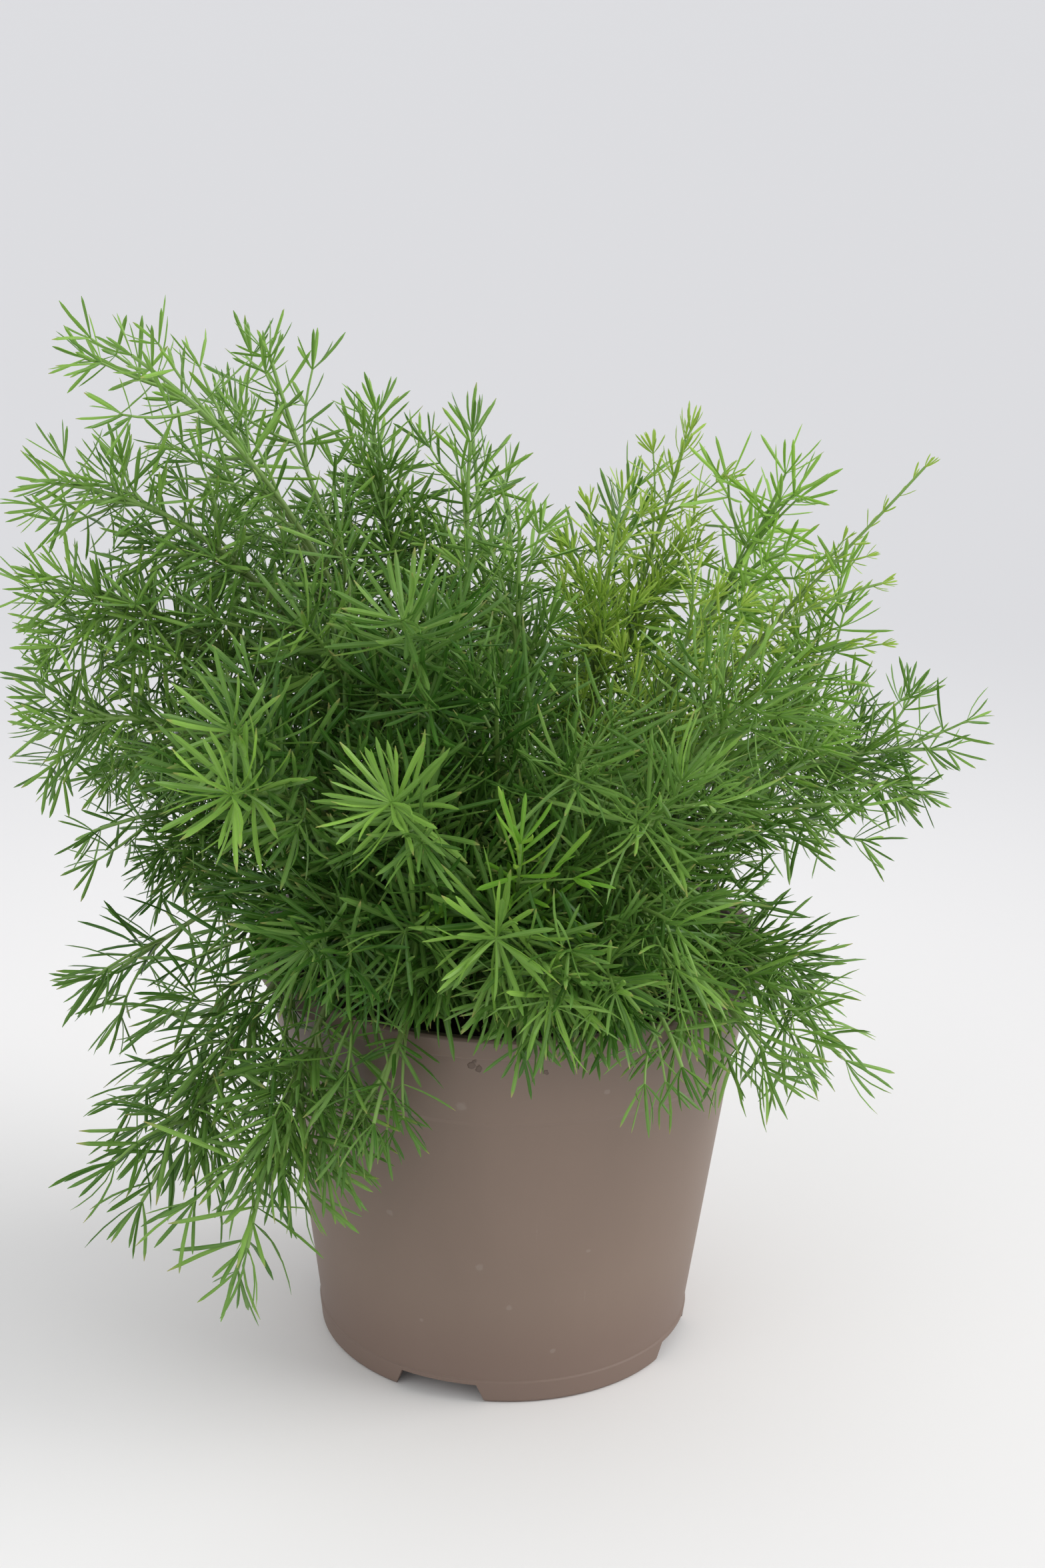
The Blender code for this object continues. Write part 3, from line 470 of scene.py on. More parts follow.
def pot_outline(drop=0.0, step=0.6):
    """The pot's outer side from foot to rim, as radius and height."""
    collar_foot = POT_HEIGHT - COLLAR_HEIGHT - drop
    collar_radius = COLLAR_FOOT_RADIUS - drop * COLLAR_FLARE
    wall_radius = COLLAR_FOOT_RADIUS - COLLAR_STEP - drop * WALL_FLARE
    ledge = POT_HEIGHT - BEAD_HEIGHT
    under_bead = RIM_RADIUS - BEAD_OVERHANG
    return [
        (FOOT_RADIUS - FOOT_SLOPE, 0.0),
        (FOOT_RADIUS, 0.8),
        (FOOT_RADIUS + FOOT_SLOPE, SKIRT_HEIGHT),
        (FOOT_RADIUS + FOOT_SLOPE - SKIRT_STEP, SKIRT_HEIGHT + 0.3),
        (wall_radius, collar_foot),
        (collar_radius, collar_foot + step),
        (under_bead, ledge - 0.4),
        (RIM_RADIUS, ledge),
        (RIM_RADIUS, POT_HEIGHT - EDGE_SLOPE),
        (RIM_RADIUS - EDGE_SLOPE, POT_HEIGHT),
    ]


def outer_radius(height):
    radii, heights = zip(*pot_outline())
    return np.interp(height, heights, radii)


def inner_radius(height):
    """The pot's inner wall, parallel to its plain outer side."""
    foot = FOOT_RADIUS + FOOT_SLOPE - SKIRT_STEP - WALL
    top = RIM_RADIUS - BEAD_OVERHANG - WALL
    return foot + (top - foot) * height / POT_HEIGHT


def soil_height(x, y):
    """The lumpy top of the soil, a little higher in the middle."""
    radius = np.hypot(x, y)
    inner = inner_radius(POT_HEIGHT)
    mound = SOIL_MOUND * (1 - (radius / inner) ** 2)
    lumps = np.sin(x * 0.31 + 1.0) * np.cos(y * 0.27 - 0.6) + 0.6 * np.sin((x - y) * 0.19)
    fade = np.minimum(1, (inner - radius) / SOIL_FADE)
    return POT_HEIGHT - SOIL_DROP + mound + SOIL_LUMP * lumps * fade


class Shoot:
    """A leafy stem: where it is rooted, where its tip goes, and what it bears."""

    def __init__(self, name, group, tip, heading):
        self.name = name
        self.needle_length, self.branchlet_length, self.young = GROUPS[group]
        self.look = LOOKS.get(name, LOOKS[group])
        self.thin = group.startswith("thin")
        self.tip = np.array(tip, float)
        self.heading = heading
        reach = np.hypot(self.tip[0], self.tip[1])
        rise = max(0.0, self.tip[2] - POT_HEIGHT)
        lean = reach / (reach + rise)
        self.root = outward(self.tip) * between(ROOT_INNER, ROOT_OUTER, lean ** ROOT_CURVE)
        self.branchlets = []

    def bend(self):
        """Sets the curve's inner control points from the root, the tip and its heading."""
        self.start = self.root + UP * (soil_height(*self.root[:2]) + STEM_START)
        span = np.linalg.norm(self.tip - self.start)
        rise = STEM_RISE + HANGING_RISE * max(0.0, -self.heading[2])
        self.inner = self.start + (UP * rise + outward(self.tip) * STEM_LEAN) * span
        self.outer = self.tip - self.heading * TIP_PULL * span

    def at(self, share):
        """Points on the stem's curve above the soil, at shares 0 to 1."""
        t = np.asarray(share, float)[..., None]
        return (
            (1 - t) ** 3 * self.start
            + 3 * (1 - t) ** 2 * t * self.inner
            + 3 * (1 - t) * t ** 2 * self.outer
            + t ** 3 * self.tip
        )

    def foot(self):
        """The bottom of the stem, just above the bottom of its hole in the soil."""
        return self.root + UP * (soil_height(*self.root[:2]) - HOLE_DEPTH + GAP)


def named_shoots():
    """Every stem with its tip, the front and sides from TIPS and the back in a fan."""
    rows = [(group, row) for group, tips in TIPS.items() for row in tips]
    fan = zip(BACK_BEARINGS, BACK_REACH, BACK_HEIGHTS, BACK_PITCH)
    for bearing, reach, height, pitch in fan:
        x, y, _ = direction(bearing, 0) * reach
        rows.append(("back_shoot", (x, y, height, bearing, pitch)))
    shoots = []
    counts = {}
    for group, (x, y, z, bearing, pitch) in rows:
        counts[group] = counts.get(group, 0) + 1
        name = f"{group}_{counts[group]:02d}"
        shoots.append(Shoot(name, group, (x, y, z), direction(bearing, pitch)))
    return shoots


def spread_roots(shoots):
    """Pushes the roots apart until each has room in the soil."""
    roots = np.array([shoot.root for shoot in shoots])
    for _ in range(ROOT_ROUNDS):
        apart = roots[:, None] - roots[None]
        gaps = np.linalg.norm(apart, axis=2)
        np.fill_diagonal(gaps, 1e9)
        push = np.clip(ROOT_SPACING - gaps, 0, None) / np.maximum(gaps, 0.1)
        roots += ROOT_PUSH * (apart * push[..., None]).sum(1)
        radii = np.linalg.norm(roots, axis=1, keepdims=True)
        roots *= np.minimum(1, ROOT_OUTER / np.maximum(radii, 1))
    for shoot, root in zip(shoots, roots):
        shoot.root = root


def over_rim(shoot):
    """Lifts a hanging stem until it passes above the rim."""
    for _ in range(RIM_ROUNDS):
        points = shoot.at(RIM_CHECKS)
        radii = np.hypot(points[:, 0], points[:, 1])
        low = points[:, 2] < POT_HEIGHT + RIM_CLEARANCE
        wall = outer_radius(np.clip(points[:, 2], 0, POT_HEIGHT)) + RIM_CLEARANCE
        inside = (radii > RIM_RADIUS - RIM_DEPTH) & (radii < wall) & low
        if not inside.any():
            return
        shoot.inner[2] += RIM_LIFT
        shoot.outer += outward(shoot.tip) * RIM_PUSH


def part_stems(shoots):
    """Bends the stems clear of each other, with their roots and tips kept."""
    shares = STEM_CHECKS
    near_inner = 3 * (1 - shares) ** 2 * shares
    near_outer = 3 * (1 - shares) * shares ** 2
    owner = np.repeat(np.arange(len(shoots)), len(shares))
    for _ in range(STEM_ROUNDS):
        points = np.concatenate([shoot.at(shares) for shoot in shoots])
        apart = points[:, None] - points[None]
        gaps = np.linalg.norm(apart, axis=2)
        gaps[owner[:, None] == owner[None]] = 1e9
        push = np.clip(STEM_SPACING * STEM_ROOM - gaps, 0, None) / np.maximum(gaps, 0.2)
        if not (gaps < STEM_SPACING).any():
            break
        moves = (apart * push[..., None]).sum(1).reshape(len(shoots), len(shares), 3)
        for shoot, move in zip(shoots, moves):
            shoot.inner += STEM_PUSH * (move * near_inner[:, None]).sum(0)
            shoot.outer += STEM_PUSH * (move * near_outer[:, None]).sum(0)


class Space:
    """The room that stems and branchlets take, kept as thick straight runs."""

    def __init__(self):
        self.starts = np.zeros((0, 3))
        self.ends = np.zeros((0, 3))
        self.radii = np.zeros(0)
        self.labels = np.zeros(0, int)

    def add(self, points, radius, label):
        count = len(points) - 1
        self.starts = np.vstack([self.starts, points[:-1]])
        self.ends = np.vstack([self.ends, points[1:]])
        self.radii = np.append(self.radii, np.full(count, radius))
        self.labels = np.append(self.labels, np.full(count, label))

    def gaps(self, a, b):
        """Least distance from the run a-b to every run kept."""
        u, v, w = b - a, self.ends - self.starts, a - self.starts
        uu, vv = u @ u, (v * v).sum(1)
        uv, uw, vw = v @ u, w @ u, (v * w).sum(1)
        s = np.clip((uv * vw - vv * uw) / np.maximum(uu * vv - uv ** 2, 1e-9), 0, 1)
        t = np.clip((uv * s + vw) / vv, 0, 1)
        s = np.clip((t * uv - uw) / uu, 0, 1)
        return np.linalg.norm(w + s[:, None] * u - t[:, None] * v, axis=1)

    def is_clear(self, points, radius, host):
        """Whether a run of points keeps clear of all but its host, and of pot, soil and floor."""
        for a, b in zip(points[:-1], points[1:]):
            near = self.gaps(a, b) < self.radii + radius + CLEARANCE
            if (near & (self.labels != host)).any():
                return False
        along = BRANCHLET_CHECKS[:, None]
        runs = [a + (b - a) * along for a, b in zip(points[:-1], points[1:])]
        return clears_pot(np.concatenate(runs), radius + BRANCHLET_MARGIN).all()


def clears_pot(points, margin):
    """Which points lie above the pot, outside its wall or inside it above the soil."""
    radii = np.hypot(points[:, 0], points[:, 1])
    heights = points[:, 2]
    wall = outer_radius(np.clip(heights, 0, POT_HEIGHT))
    above = heights > POT_HEIGHT + margin
    outside = (radii > wall + margin) & (heights > LOWEST_FOLIAGE)
    soil = soil_height(points[:, 0], points[:, 1])
    inside = (radii < RIM_RADIUS - INNER_CLEARANCE) & (heights > soil + margin + SOIL_CLEARANCE)
    return above | outside | inside


def side_axes(axis):
    """Two unit vectors square to an axis."""
    side = np.cross(axis, UP)
    if np.linalg.norm(side) < 0.1:
        side = np.cross(axis, np.array([0.0, 1.0, 0.0]))
    side = unit(side)
    return side, np.cross(axis, side)


def run_length(points):
    return np.linalg.norm(np.diff(points, axis=0), axis=1).sum()


def place_on(points, marks, spot):
    """The place at a distance along a run of points, and the run's way there."""
    base = np.array([np.interp(spot, marks, values) for values in points.T])
    span = np.clip(np.searchsorted(marks, spot) - 1, 0, len(points) - 2)
    return base, unit(points[span + 1] - points[span])


def with_end_needle(points, needle_length):
    """A run of points drawn out by the needle at its end."""
    end_way = unit(points[-1] - points[-2])
    return np.vstack([points, points[-1] + end_way * END_NEEDLE * needle_length])


def bent_run(base, along, length, roll, splay, bend, droop):
    """A side shoot's base, middle and tip: it leaves a stem and bends the way that the stem goes."""
    side, over = side_axes(along)
    out = turned(along, turned(side, over, roll), splay)
    tip_way = unit(out + bend * along - droop * UP)
    middle = base + out * length / 2
    return np.array([base, middle, middle + tip_way * length / 2])


def branchlet_points(shoot, share, length, roll):
    """A main branchlet that leaves the stem at a share of its length."""
    span = min(int(share * STEM_SPANS), STEM_SPANS - 1)
    before, after = shoot.stem[span + 1:span + 3]
    base = before + (share * STEM_SPANS - span) * (after - before)
    along = unit(after - before)
    return bent_run(base, along, length, roll, BRANCHLET_SPLAY, BRANCHLET_BEND, BRANCHLET_DROOP)


def grow_branchlets(shoots):
    """Gives each stem its main side shoots, each turned or shortened until it is clear."""
    space = Space()
    for label, shoot in enumerate(shoots):
        shoot.stem = np.vstack([shoot.foot(), shoot.at(np.linspace(0, 1, STEM_SPANS + 1))])
        space.add(with_end_needle(shoot.stem, shoot.needle_length), STEM_RADIUS, label)
    label = len(shoots)
    low, high = LEAF_ZONE
    full, shrink = BRANCHLET_SHRINK
    for order, shoot in enumerate(shoots):
        leafy = (run_length(shoot.stem) - HOLE_DEPTH) * (1 - low)
        most = MOST_ON_THIN if shoot.thin else MOST_BRANCHLETS
        count = int(np.clip(round(leafy / BRANCHLET_SPACING), 2, most))
        for number in range(count):
            share = low + (high - low) * (number + 0.5) / count
            reach = shoot.branchlet_length * (full - shrink * share)
            roll = order * BRANCHLET_TURN + number * GOLDEN_ANGLE
            tries = [(reach * size, roll + turn) for size in BRANCHLET_SIZES for turn in BRANCHLET_TURNS]
            for length, turned_roll in tries:
                points = branchlet_points(shoot, share, length, turned_roll)
                run = with_end_needle(points, shoot.needle_length)
                if space.is_clear(run, BRANCHLET_RADIUS, order):
                    space.add(run, BRANCHLET_RADIUS, label)
                    shoot.branchlets.append((share, points))
                    label += 1
                    break


def plan_shoots():
    """The stems' curves and main branchlets, as the solid model has them."""
    shoots = named_shoots()
    spread_roots(shoots)
    for shoot in shoots:
        shoot.bend()
        over_rim(shoot)
    part_stems(shoots)
    grow_branchlets(shoots)
    return shoots


def smooth_run(base, middle, tip, steps):
    """A smooth curve through three points."""
    return curve(base, 2 * middle - (base + tip) / 2, tip, steps)


def inside_box(points, margin):
    """Which points, in millimetres, lie in the solid model's box with a margin around it."""
    low, high = (np.array(corner) / MM for corner in CAD_BOX)
    return ((points > low - margin) & (points < high + margin)).all(-1)


class Foliage:
    """The fine twigs and needles of one stem, gathered before its mesh is made."""

    def __init__(self, shoot, order, settings):
        self.shoot = shoot
        self.look = shoot.look
        self.tuft_spacing = settings.tuft_spacing / MM * self.look.spacing
        self.side_spacing = settings.side_shoot_spacing / MM * self.look.side_spacing
        self.random = np.random.default_rng([settings.seed, order])
        self.twigs = []
        self.needles = []

    def add_twig(self, points, radii, share=0.0):
        """Keeps a twig's points, with its radius and its share of the stem's length at each."""
        steps = np.linspace(0, 1, len(points))
        self.twigs.append((points, between(*radii, steps), between(share, 1, steps)))

    def add_leafy_twig(self, points, radii, share, start=TWIG_ZONE_START, fullness=TWIG_FULLNESS):
        self.add_twig(points, radii, share)
        self.add_tufts(points, start, fullness)

    def add_tufts(self, points, start, fullness, head=0.0):
        """Tufts of needles all round a twig, a star of them at its end, and a denser head if any."""
        marks = np.append(0, np.cumsum(np.linalg.norm(np.diff(points, axis=0), axis=1)))
        total = marks[-1]
        neck = total - head
        first = start * total + 0.5 * self.tuft_spacing
        spots = list(np.arange(first, neck - TUFT_END_GAP, self.tuft_spacing))
        if head:
            spots += list(np.arange(neck, total - TUFT_END_GAP, self.tuft_spacing * HEAD_SPACING))
        roll = self.random.uniform(0, 2 * math.pi)
        # Painted light on the head, painted shade on the rest of the stem
        neck_painted_shade = -HEAD_PAINTED_LIGHT if self.look.head else 0.0
        for number, spot in enumerate(spots):
            share = spot / total
            size = fullness * (1 if head else 1 - TUFT_SHRINK * share ** 3)
            turn = roll + number * GOLDEN_ANGLE
            if head and spot > neck:
                splay = between(HEAD_SPLAY, HEAD_END_SPLAY, (spot - neck) / head)
                manner = (self.look.tuft, HEAD_FAN, HEAD_UNEVENNESS, HEAD_PAINTED_LIGHT)
            else:
                splay = between(SPLAY_START, SPLAY_END, share ** SPLAY_POWER)
                manner = (self.look.tuft, NEEDLE_FAN, 1.0, neck_painted_shade)
            self.add_tuft(*place_on(points, marks, spot), turn, splay, size, *manner)
        splay, size, painted_lightness = STAR_SPLAY, STAR_SIZE, neck_painted_shade
        if head:
            splay, size, painted_lightness = HEAD_END_SPLAY, HEAD_END_SIZE, HEAD_PAINTED_LIGHT
        star = (STAR_NEEDLES, 2 * math.pi / STAR_NEEDLES, 1.0, painted_lightness)
        end = place_on(points, marks, total - STAR_END_GAP)
        self.add_tuft(*end, roll, splay, size * fullness, *star)

    def add_tuft(self, base, along, roll, splay, size, count, fan, unevenness, painted_lightness):
        """A few needles that leave one spot of a twig in a fan about a roll."""
        side, over = side_axes(along)
        random = self.random
        of_turn, of_lean, of_twist = NEEDLE_UNEVENNESS
        splay *= self.look.splay * (YOUNG_SPLAY if self.shoot.young else 1.0)
        for number in range(count):
            turn = roll + (number - (count - 1) / 2) * fan + random.normal(0, of_turn) * unevenness
            lean = splay + random.normal(0, of_lean) * unevenness
            way = turned(along, turned(side, over, turn), lean)
            face = unit(along - way * (along @ way))
            face = turned(face, np.cross(way, face), random.normal(0, of_twist))
            length = self.shoot.needle_length * self.look.length * size * random.uniform(*NEEDLE_SIZES)
            curl = length * self.look.curl * random.normal(NEEDLE_CURL, CURL_UNEVENNESS)
            self.needles.append((base, way, face, length, curl, random.uniform(), painted_lightness))

    def grow(self):
        """Lays out the stem, its main branchlets, the side shoots between them and all needles."""
        shoot, random = self.shoot, self.random
        points = shoot.at(np.linspace(0, 1, STEM_STEPS + 1))
        thinning = YOUNG_THINNING if shoot.young else 1.0
        radii = np.array(FINE_BRANCHLET_RADII) * thinning
        length = run_length(points)
        head = min(HEAD_LENGTH, MOST_HEAD * length) if self.look.head else 0.0
        self.add_twig(np.vstack([shoot.foot(), points]), np.array(FINE_STEM_RADII) * thinning)
        self.add_tufts(points, NEEDLE_ZONE_START, 1.0, head)
        for share, (_, middle, tip) in shoot.branchlets:
            branchlet = smooth_run(shoot.at(share), middle, tip, BRANCHLET_STEPS)
            self.add_leafy_twig(branchlet, radii, share, BRANCHLET_ZONE_START, 1.0)
        for tip in SPRAYS.get(shoot.name, ()):
            self.add_spray(np.array(tip, float), radii)
        low, high = SIDE_SHOOT_START, min(self.look.reach, 1 - head / length)
        full, shrink = SIDE_SHOOT_SHRINK
        count = round(length * (high - low) / self.side_spacing)
        roll = random.uniform(0, 2 * math.pi)
        for number in range(count):
            share = low + (high - low) * (number + random.uniform(*SIDE_SHOOT_PLACES)) / count
            if any(abs(share - base) * length < LEAST_APART for base, _ in shoot.branchlets):
                continue
            size = (full - shrink * share) * random.uniform(*SIDE_SHOOT_SIZES)
            self.add_side_shoot(share, shoot.branchlet_length * size, roll + number * GOLDEN_ANGLE, radii)

    def add_spray(self, tip, radii):
        """A long side shoot to a tip, from where it leaves the stem most easily."""
        bases = self.shoot.at(SPRAY_BASES)
        alongs = unit(self.shoot.at(SPRAY_BASES + 0.02) - self.shoot.at(SPRAY_BASES - 0.02))
        chords = tip - bases
        lengths = np.linalg.norm(chords, axis=1)
        turns = np.arccos(np.clip((alongs * chords).sum(1) / lengths, -1, 1))
        best = np.argmin(abs(lengths / SPRAY_LENGTH - 1) + abs(turns - SPRAY_TURN))
        length = lengths[best] - SPRAY_END * self.shoot.needle_length * self.look.length
        chord = unit(chords[best]) * length
        middle = bases[best] + chord / 2 + (alongs[best] * length - chord) * SPRAY_BULGE
        points = smooth_run(bases[best], middle, bases[best] + chord, BRANCHLET_STEPS + 1)
        self.add_leafy_twig(points, radii, SPRAY_BASES[best])

    def add_side_shoot(self, share, reach, roll, radii):
        """A small side shoot, turned until it clears the pot and stays in the plant's box."""
        base = self.shoot.at(share)
        along = unit(self.shoot.at(min(1.0, share + 0.03)) - self.shoot.at(share - 0.03))
        of_splay, of_droop = SIDE_SHOOT_UNEVENNESS
        splay = self.random.normal(SIDE_SHOOT_SPREAD, of_splay)
        droop = self.random.normal(SIDE_SHOOT_DROOP, of_droop)
        for turn in SIDE_SHOOT_TURNS:
            run = bent_run(base, along, reach, roll + turn, splay, SIDE_SHOOT_BEND, droop)
            points = smooth_run(*run, BRANCHLET_STEPS - 1)
            if clears_pot(points[1:], POT_CLEARANCE).all() and inside_box(points, -BOX_CLEARANCE).all():
                self.add_leafy_twig(points, radii * SIDE_SHOOT_THINNING, share)
                return

    def kept_needles(self):
        """The needles that clear the pot and the soil and stay in the plant's box."""
        columns = [np.array(column) for column in zip(*self.needles)]
        base, way, face, length, curl = columns[:5]
        kept = np.ones(len(base), bool)
        for share in NEEDLE_CHECKS:
            points = base + way * (length * share)[:, None] + face * (curl * share ** 2)[:, None]
            kept &= clears_pot(points, NEEDLE_CLEARANCE) & inside_box(points, FOLIAGE_MARGIN)
        return [column[kept] for column in columns]

    def wire(self):
        """A mesh of the twigs' lines and the needles' base points, with what each needs to grow."""
        base, way, face, length, curl, tint, painted_lightness = self.kept_needles()
        points, radius, share = (np.concatenate(column) for column in zip(*self.twigs))
        edges, first = [], 0
        for twig, _, _ in self.twigs:
            edges += [(first + i, first + i + 1) for i in range(len(twig) - 1)]
            first += len(twig)
        mesh = bpy.data.meshes.new(self.shoot.name + "_wire")
        mesh.from_pydata(np.vstack([points, base]) * MM, edges, [])
        right, _, height = self.shoot.tip
        youth = np.interp(right, YOUTH_RIGHT, (0, 1)) * np.interp(height, YOUTH_HEIGHT, (0, 1))
        lightness = self.look.lightness + YOUTH_LIGHTNESS * youth
        lightness += self.random.uniform(-STEM_LIGHTNESS_SPREAD, STEM_LIGHTNESS_SPREAD)
        # Painted shade: needles nearer the heart of the plant are darker
        depth = np.clip(1 - np.linalg.norm(base - HEART, axis=1) / HEART_REACH, 0, 1)
        blank, none, bare = np.zeros(len(points)), np.zeros((len(points), 3)), np.zeros(len(base))
        for name, kind, on_twigs, on_needles in (
            ("radius", "FLOAT", radius * MM, bare),
            ("share", "FLOAT", share, bare),
            ("is_needle", "BOOLEAN", blank, bare + 1),
            ("way", "FLOAT_VECTOR", none, way),
            ("face", "FLOAT_VECTOR", none, face),
            ("size", "FLOAT", blank, length * MM),
            ("curl", "FLOAT", blank, curl * MM),
            ("tint", "FLOAT", blank, tint),
            ("lightness", "FLOAT", blank, lightness + painted_lightness - HEART_PAINTED_SHADE * depth),
        ):
            attribute = mesh.attributes.new(name, kind, "POINT")
            values = np.concatenate([on_twigs, on_needles]).astype(bool if kind == "BOOLEAN" else float)
            attribute.data.foreach_set("vector" if values.ndim == 2 else "value", values.ravel())
        return mesh


def math_operator(operation, reflected=False):
    """A method that adds a Math node for a number and another, or the other way round."""
    def method(self, other):
        pair = (other, self) if reflected else (self, other)
        return self.math(operation, *pair)
    return method


class Value:
    """A number in a node tree. Sums, products and comparisons with it add Math nodes."""

    def __init__(self, graph, socket):
        self.graph = graph
        self.socket = socket

    def math(self, operation, *values, clamp=False):
        node = self.graph.add("ShaderNodeMath", operation=operation, use_clamp=clamp)
        for socket, value in zip(node.inputs, values):
            self.graph.feed(socket, value)
        return Value(self.graph, node.outputs[0])

    __add__, __radd__ = math_operator("ADD"), math_operator("ADD", True)
    __sub__, __rsub__ = math_operator("SUBTRACT"), math_operator("SUBTRACT", True)
    __mul__, __rmul__ = math_operator("MULTIPLY"), math_operator("MULTIPLY", True)
    __pow__ = math_operator("POWER")
    __lt__, __gt__ = math_operator("LESS_THAN"), math_operator("GREATER_THAN")

    def __abs__(self):
        return self.math("ABSOLUTE", self)

    def clamped(self):
        return self.math("ADD", self, 0.0, clamp=True)


def enabled(sockets, name=None):
    """The first socket in use, or the first of a name."""
    return next(socket for socket in sockets if socket.enabled and name in (None, socket.name))


class Graph:
    """A node tree. Each node is added by its kind, its inputs by name and then its settings."""

    def __init__(self, tree):
        self.tree = tree

    def feed(self, socket, value):
        if isinstance(value, Value):
            value = value.socket
        if isinstance(value, bpy.types.NodeSocket):
            self.tree.links.new(value, socket)
        else:
            socket.default_value = value

    def add(self, kind, inputs=None, **settings):
        node = self.tree.nodes.new(kind)
        for name, value in settings.items():
            setattr(node, name, value)
        for name, value in (inputs or {}).items():
            self.feed(enabled(node.inputs, name), value)
        return node

    def get(self, kind, inputs=None, output=None, **settings):
        """An output of a new node: the first in use, or the one of a name."""
        return enabled(self.add(kind, inputs, **settings).outputs, output)

    def value(self, *call, **settings):
        """The same as get, as a number to use in sums."""
        return Value(self, self.get(*call, **settings))

    def axes(self, vector):
        """A vector's three numbers."""
        parts = self.add("ShaderNodeSeparateXYZ", {"Vector": vector}).outputs
        return [Value(self, part) for part in parts]

    def vector_math(self, operation, first, second):
        """A vector from two others, or from one and a factor."""
        node = self.add("ShaderNodeVectorMath", operation=operation)
        self.feed(node.inputs[0], first)
        self.feed(node.inputs["Scale" if operation == "SCALE" else 1], second)
        return node.outputs[0]


class Shader(Graph):
    """A material's nodes round one Principled shader, in object coordinates."""

    def __init__(self, name):
        self.material = bpy.data.materials.new(name)
        self.material.use_nodes = True
        super().__init__(self.material.node_tree)
        self.principled = self.tree.nodes["Principled BSDF"]
        self.place = self.get("ShaderNodeTexCoord", output="Object")

    def set(self, **values):
        """Sets or links inputs of the Principled shader, with underscores for spaces."""
        for name, value in values.items():
            self.feed(self.principled.inputs[name.replace("_", " ")], value)

    def noise(self, scale, detail=3.0, roughness=0.55):
        """Noise in object coordinates, at one scale or at one for each axis."""
        inputs = {"Vector": self.place, "Scale": scale, "Detail": detail, "Roughness": roughness}
        if isinstance(scale, tuple):
            inputs |= {"Vector": self.vector_math("MULTIPLY", self.place, scale), "Scale": 1.0}
        return self.value("ShaderNodeTexNoise", inputs)

    def attribute(self, name):
        return self.value("ShaderNodeAttribute", output="Fac", attribute_name=name)

    def ramp(self, value, low, high):
        """0 below low, 1 above high and a smooth step between."""
        inputs = {"Value": value, "From Min": low, "From Max": high}
        return self.value("ShaderNodeMapRange", inputs, interpolation_type="SMOOTHSTEP")

    def mix(self, amount, first, second):
        """A colour between two others."""
        inputs = {"Factor": amount, "A": rgba(first), "B": rgba(second)}
        return self.get("ShaderNodeMix", inputs, data_type="RGBA")

    def bump(self, height, distance, strength, **normal):
        inputs = {"Height": height, "Distance": distance, "Strength": strength} | normal
        return self.get("ShaderNodeBump", inputs)


def rgba(colour):
    """A colour with its alpha, or a socket as it is."""
    return colour if isinstance(colour, bpy.types.NodeSocket) else (*colour[:3], 1.0)


def needle_material(name, deep, light, fresh, tip):
    """Flat green needles: each its own green, a paler midrib and here and there a dry tip."""
    shader = Shader(name)
    tint, lightness, along, across = map(shader.attribute, ("tint", "lightness", "along", "across"))
    clump = shader.noise(38.0, 2.0)
    # lightness carries each stem's tone, painted shade deep in the plant and painted light on the heads
    amount = 0.42 + (tint - 0.5) * 0.55 + (clump - 0.5) * 0.9 + lightness * 1.2
    midrib = (1 - across) ** 3 * 0.25
    green = shader.mix((amount + midrib).clamped(), deep, light)
    green = shader.mix((lightness * 2 + (tint - 0.6) * 0.5).clamped(), green, fresh)
    dry = shader.ramp(along, 0.86, 1.0) * shader.ramp(tint, 0.55, 0.95)
    coloured = shader.mix(dry * 0.8, green, tip)
    pale_base = (1 - shader.ramp(along, 0.0, 0.16)) * 0.35
    shader.set(Base_Color=shader.mix(pale_base, coloured, light))
    shader.set(Roughness=0.36 + (clump - 0.5) * 0.2 + tint * 0.08, Specular_IOR_Level=0.3)
    shader.set(Normal=shader.bump(shader.noise(1600.0, 2.0), 0.00004, 0.5))
    shader.set(Subsurface_Weight=0.15, Subsurface_Radius=(0.4, 0.8, 0.15), Subsurface_Scale=0.0008)
    return shader.material


def stem_material(name, root, leafy, young):
    """Wiry stems, straw-coloured low down and green where the needles are."""
    shader = Shader(name)
    share = shader.attribute("share")
    mottle = shader.noise(160.0, 4.0)
    green = shader.mix(shader.ramp(share, 0.5, 1.0), leafy, young)
    turning = shader.ramp(share + (mottle - 0.5) * 0.2, 0.0, 0.26)
    shader.set(Base_Color=shader.mix(turning, root, green), Roughness=0.5 + (mottle - 0.5) * 0.2)
    shader.set(Normal=shader.bump(shader.noise((1800, 1800, 260)), 0.00008, 0.6))
    return shader.material


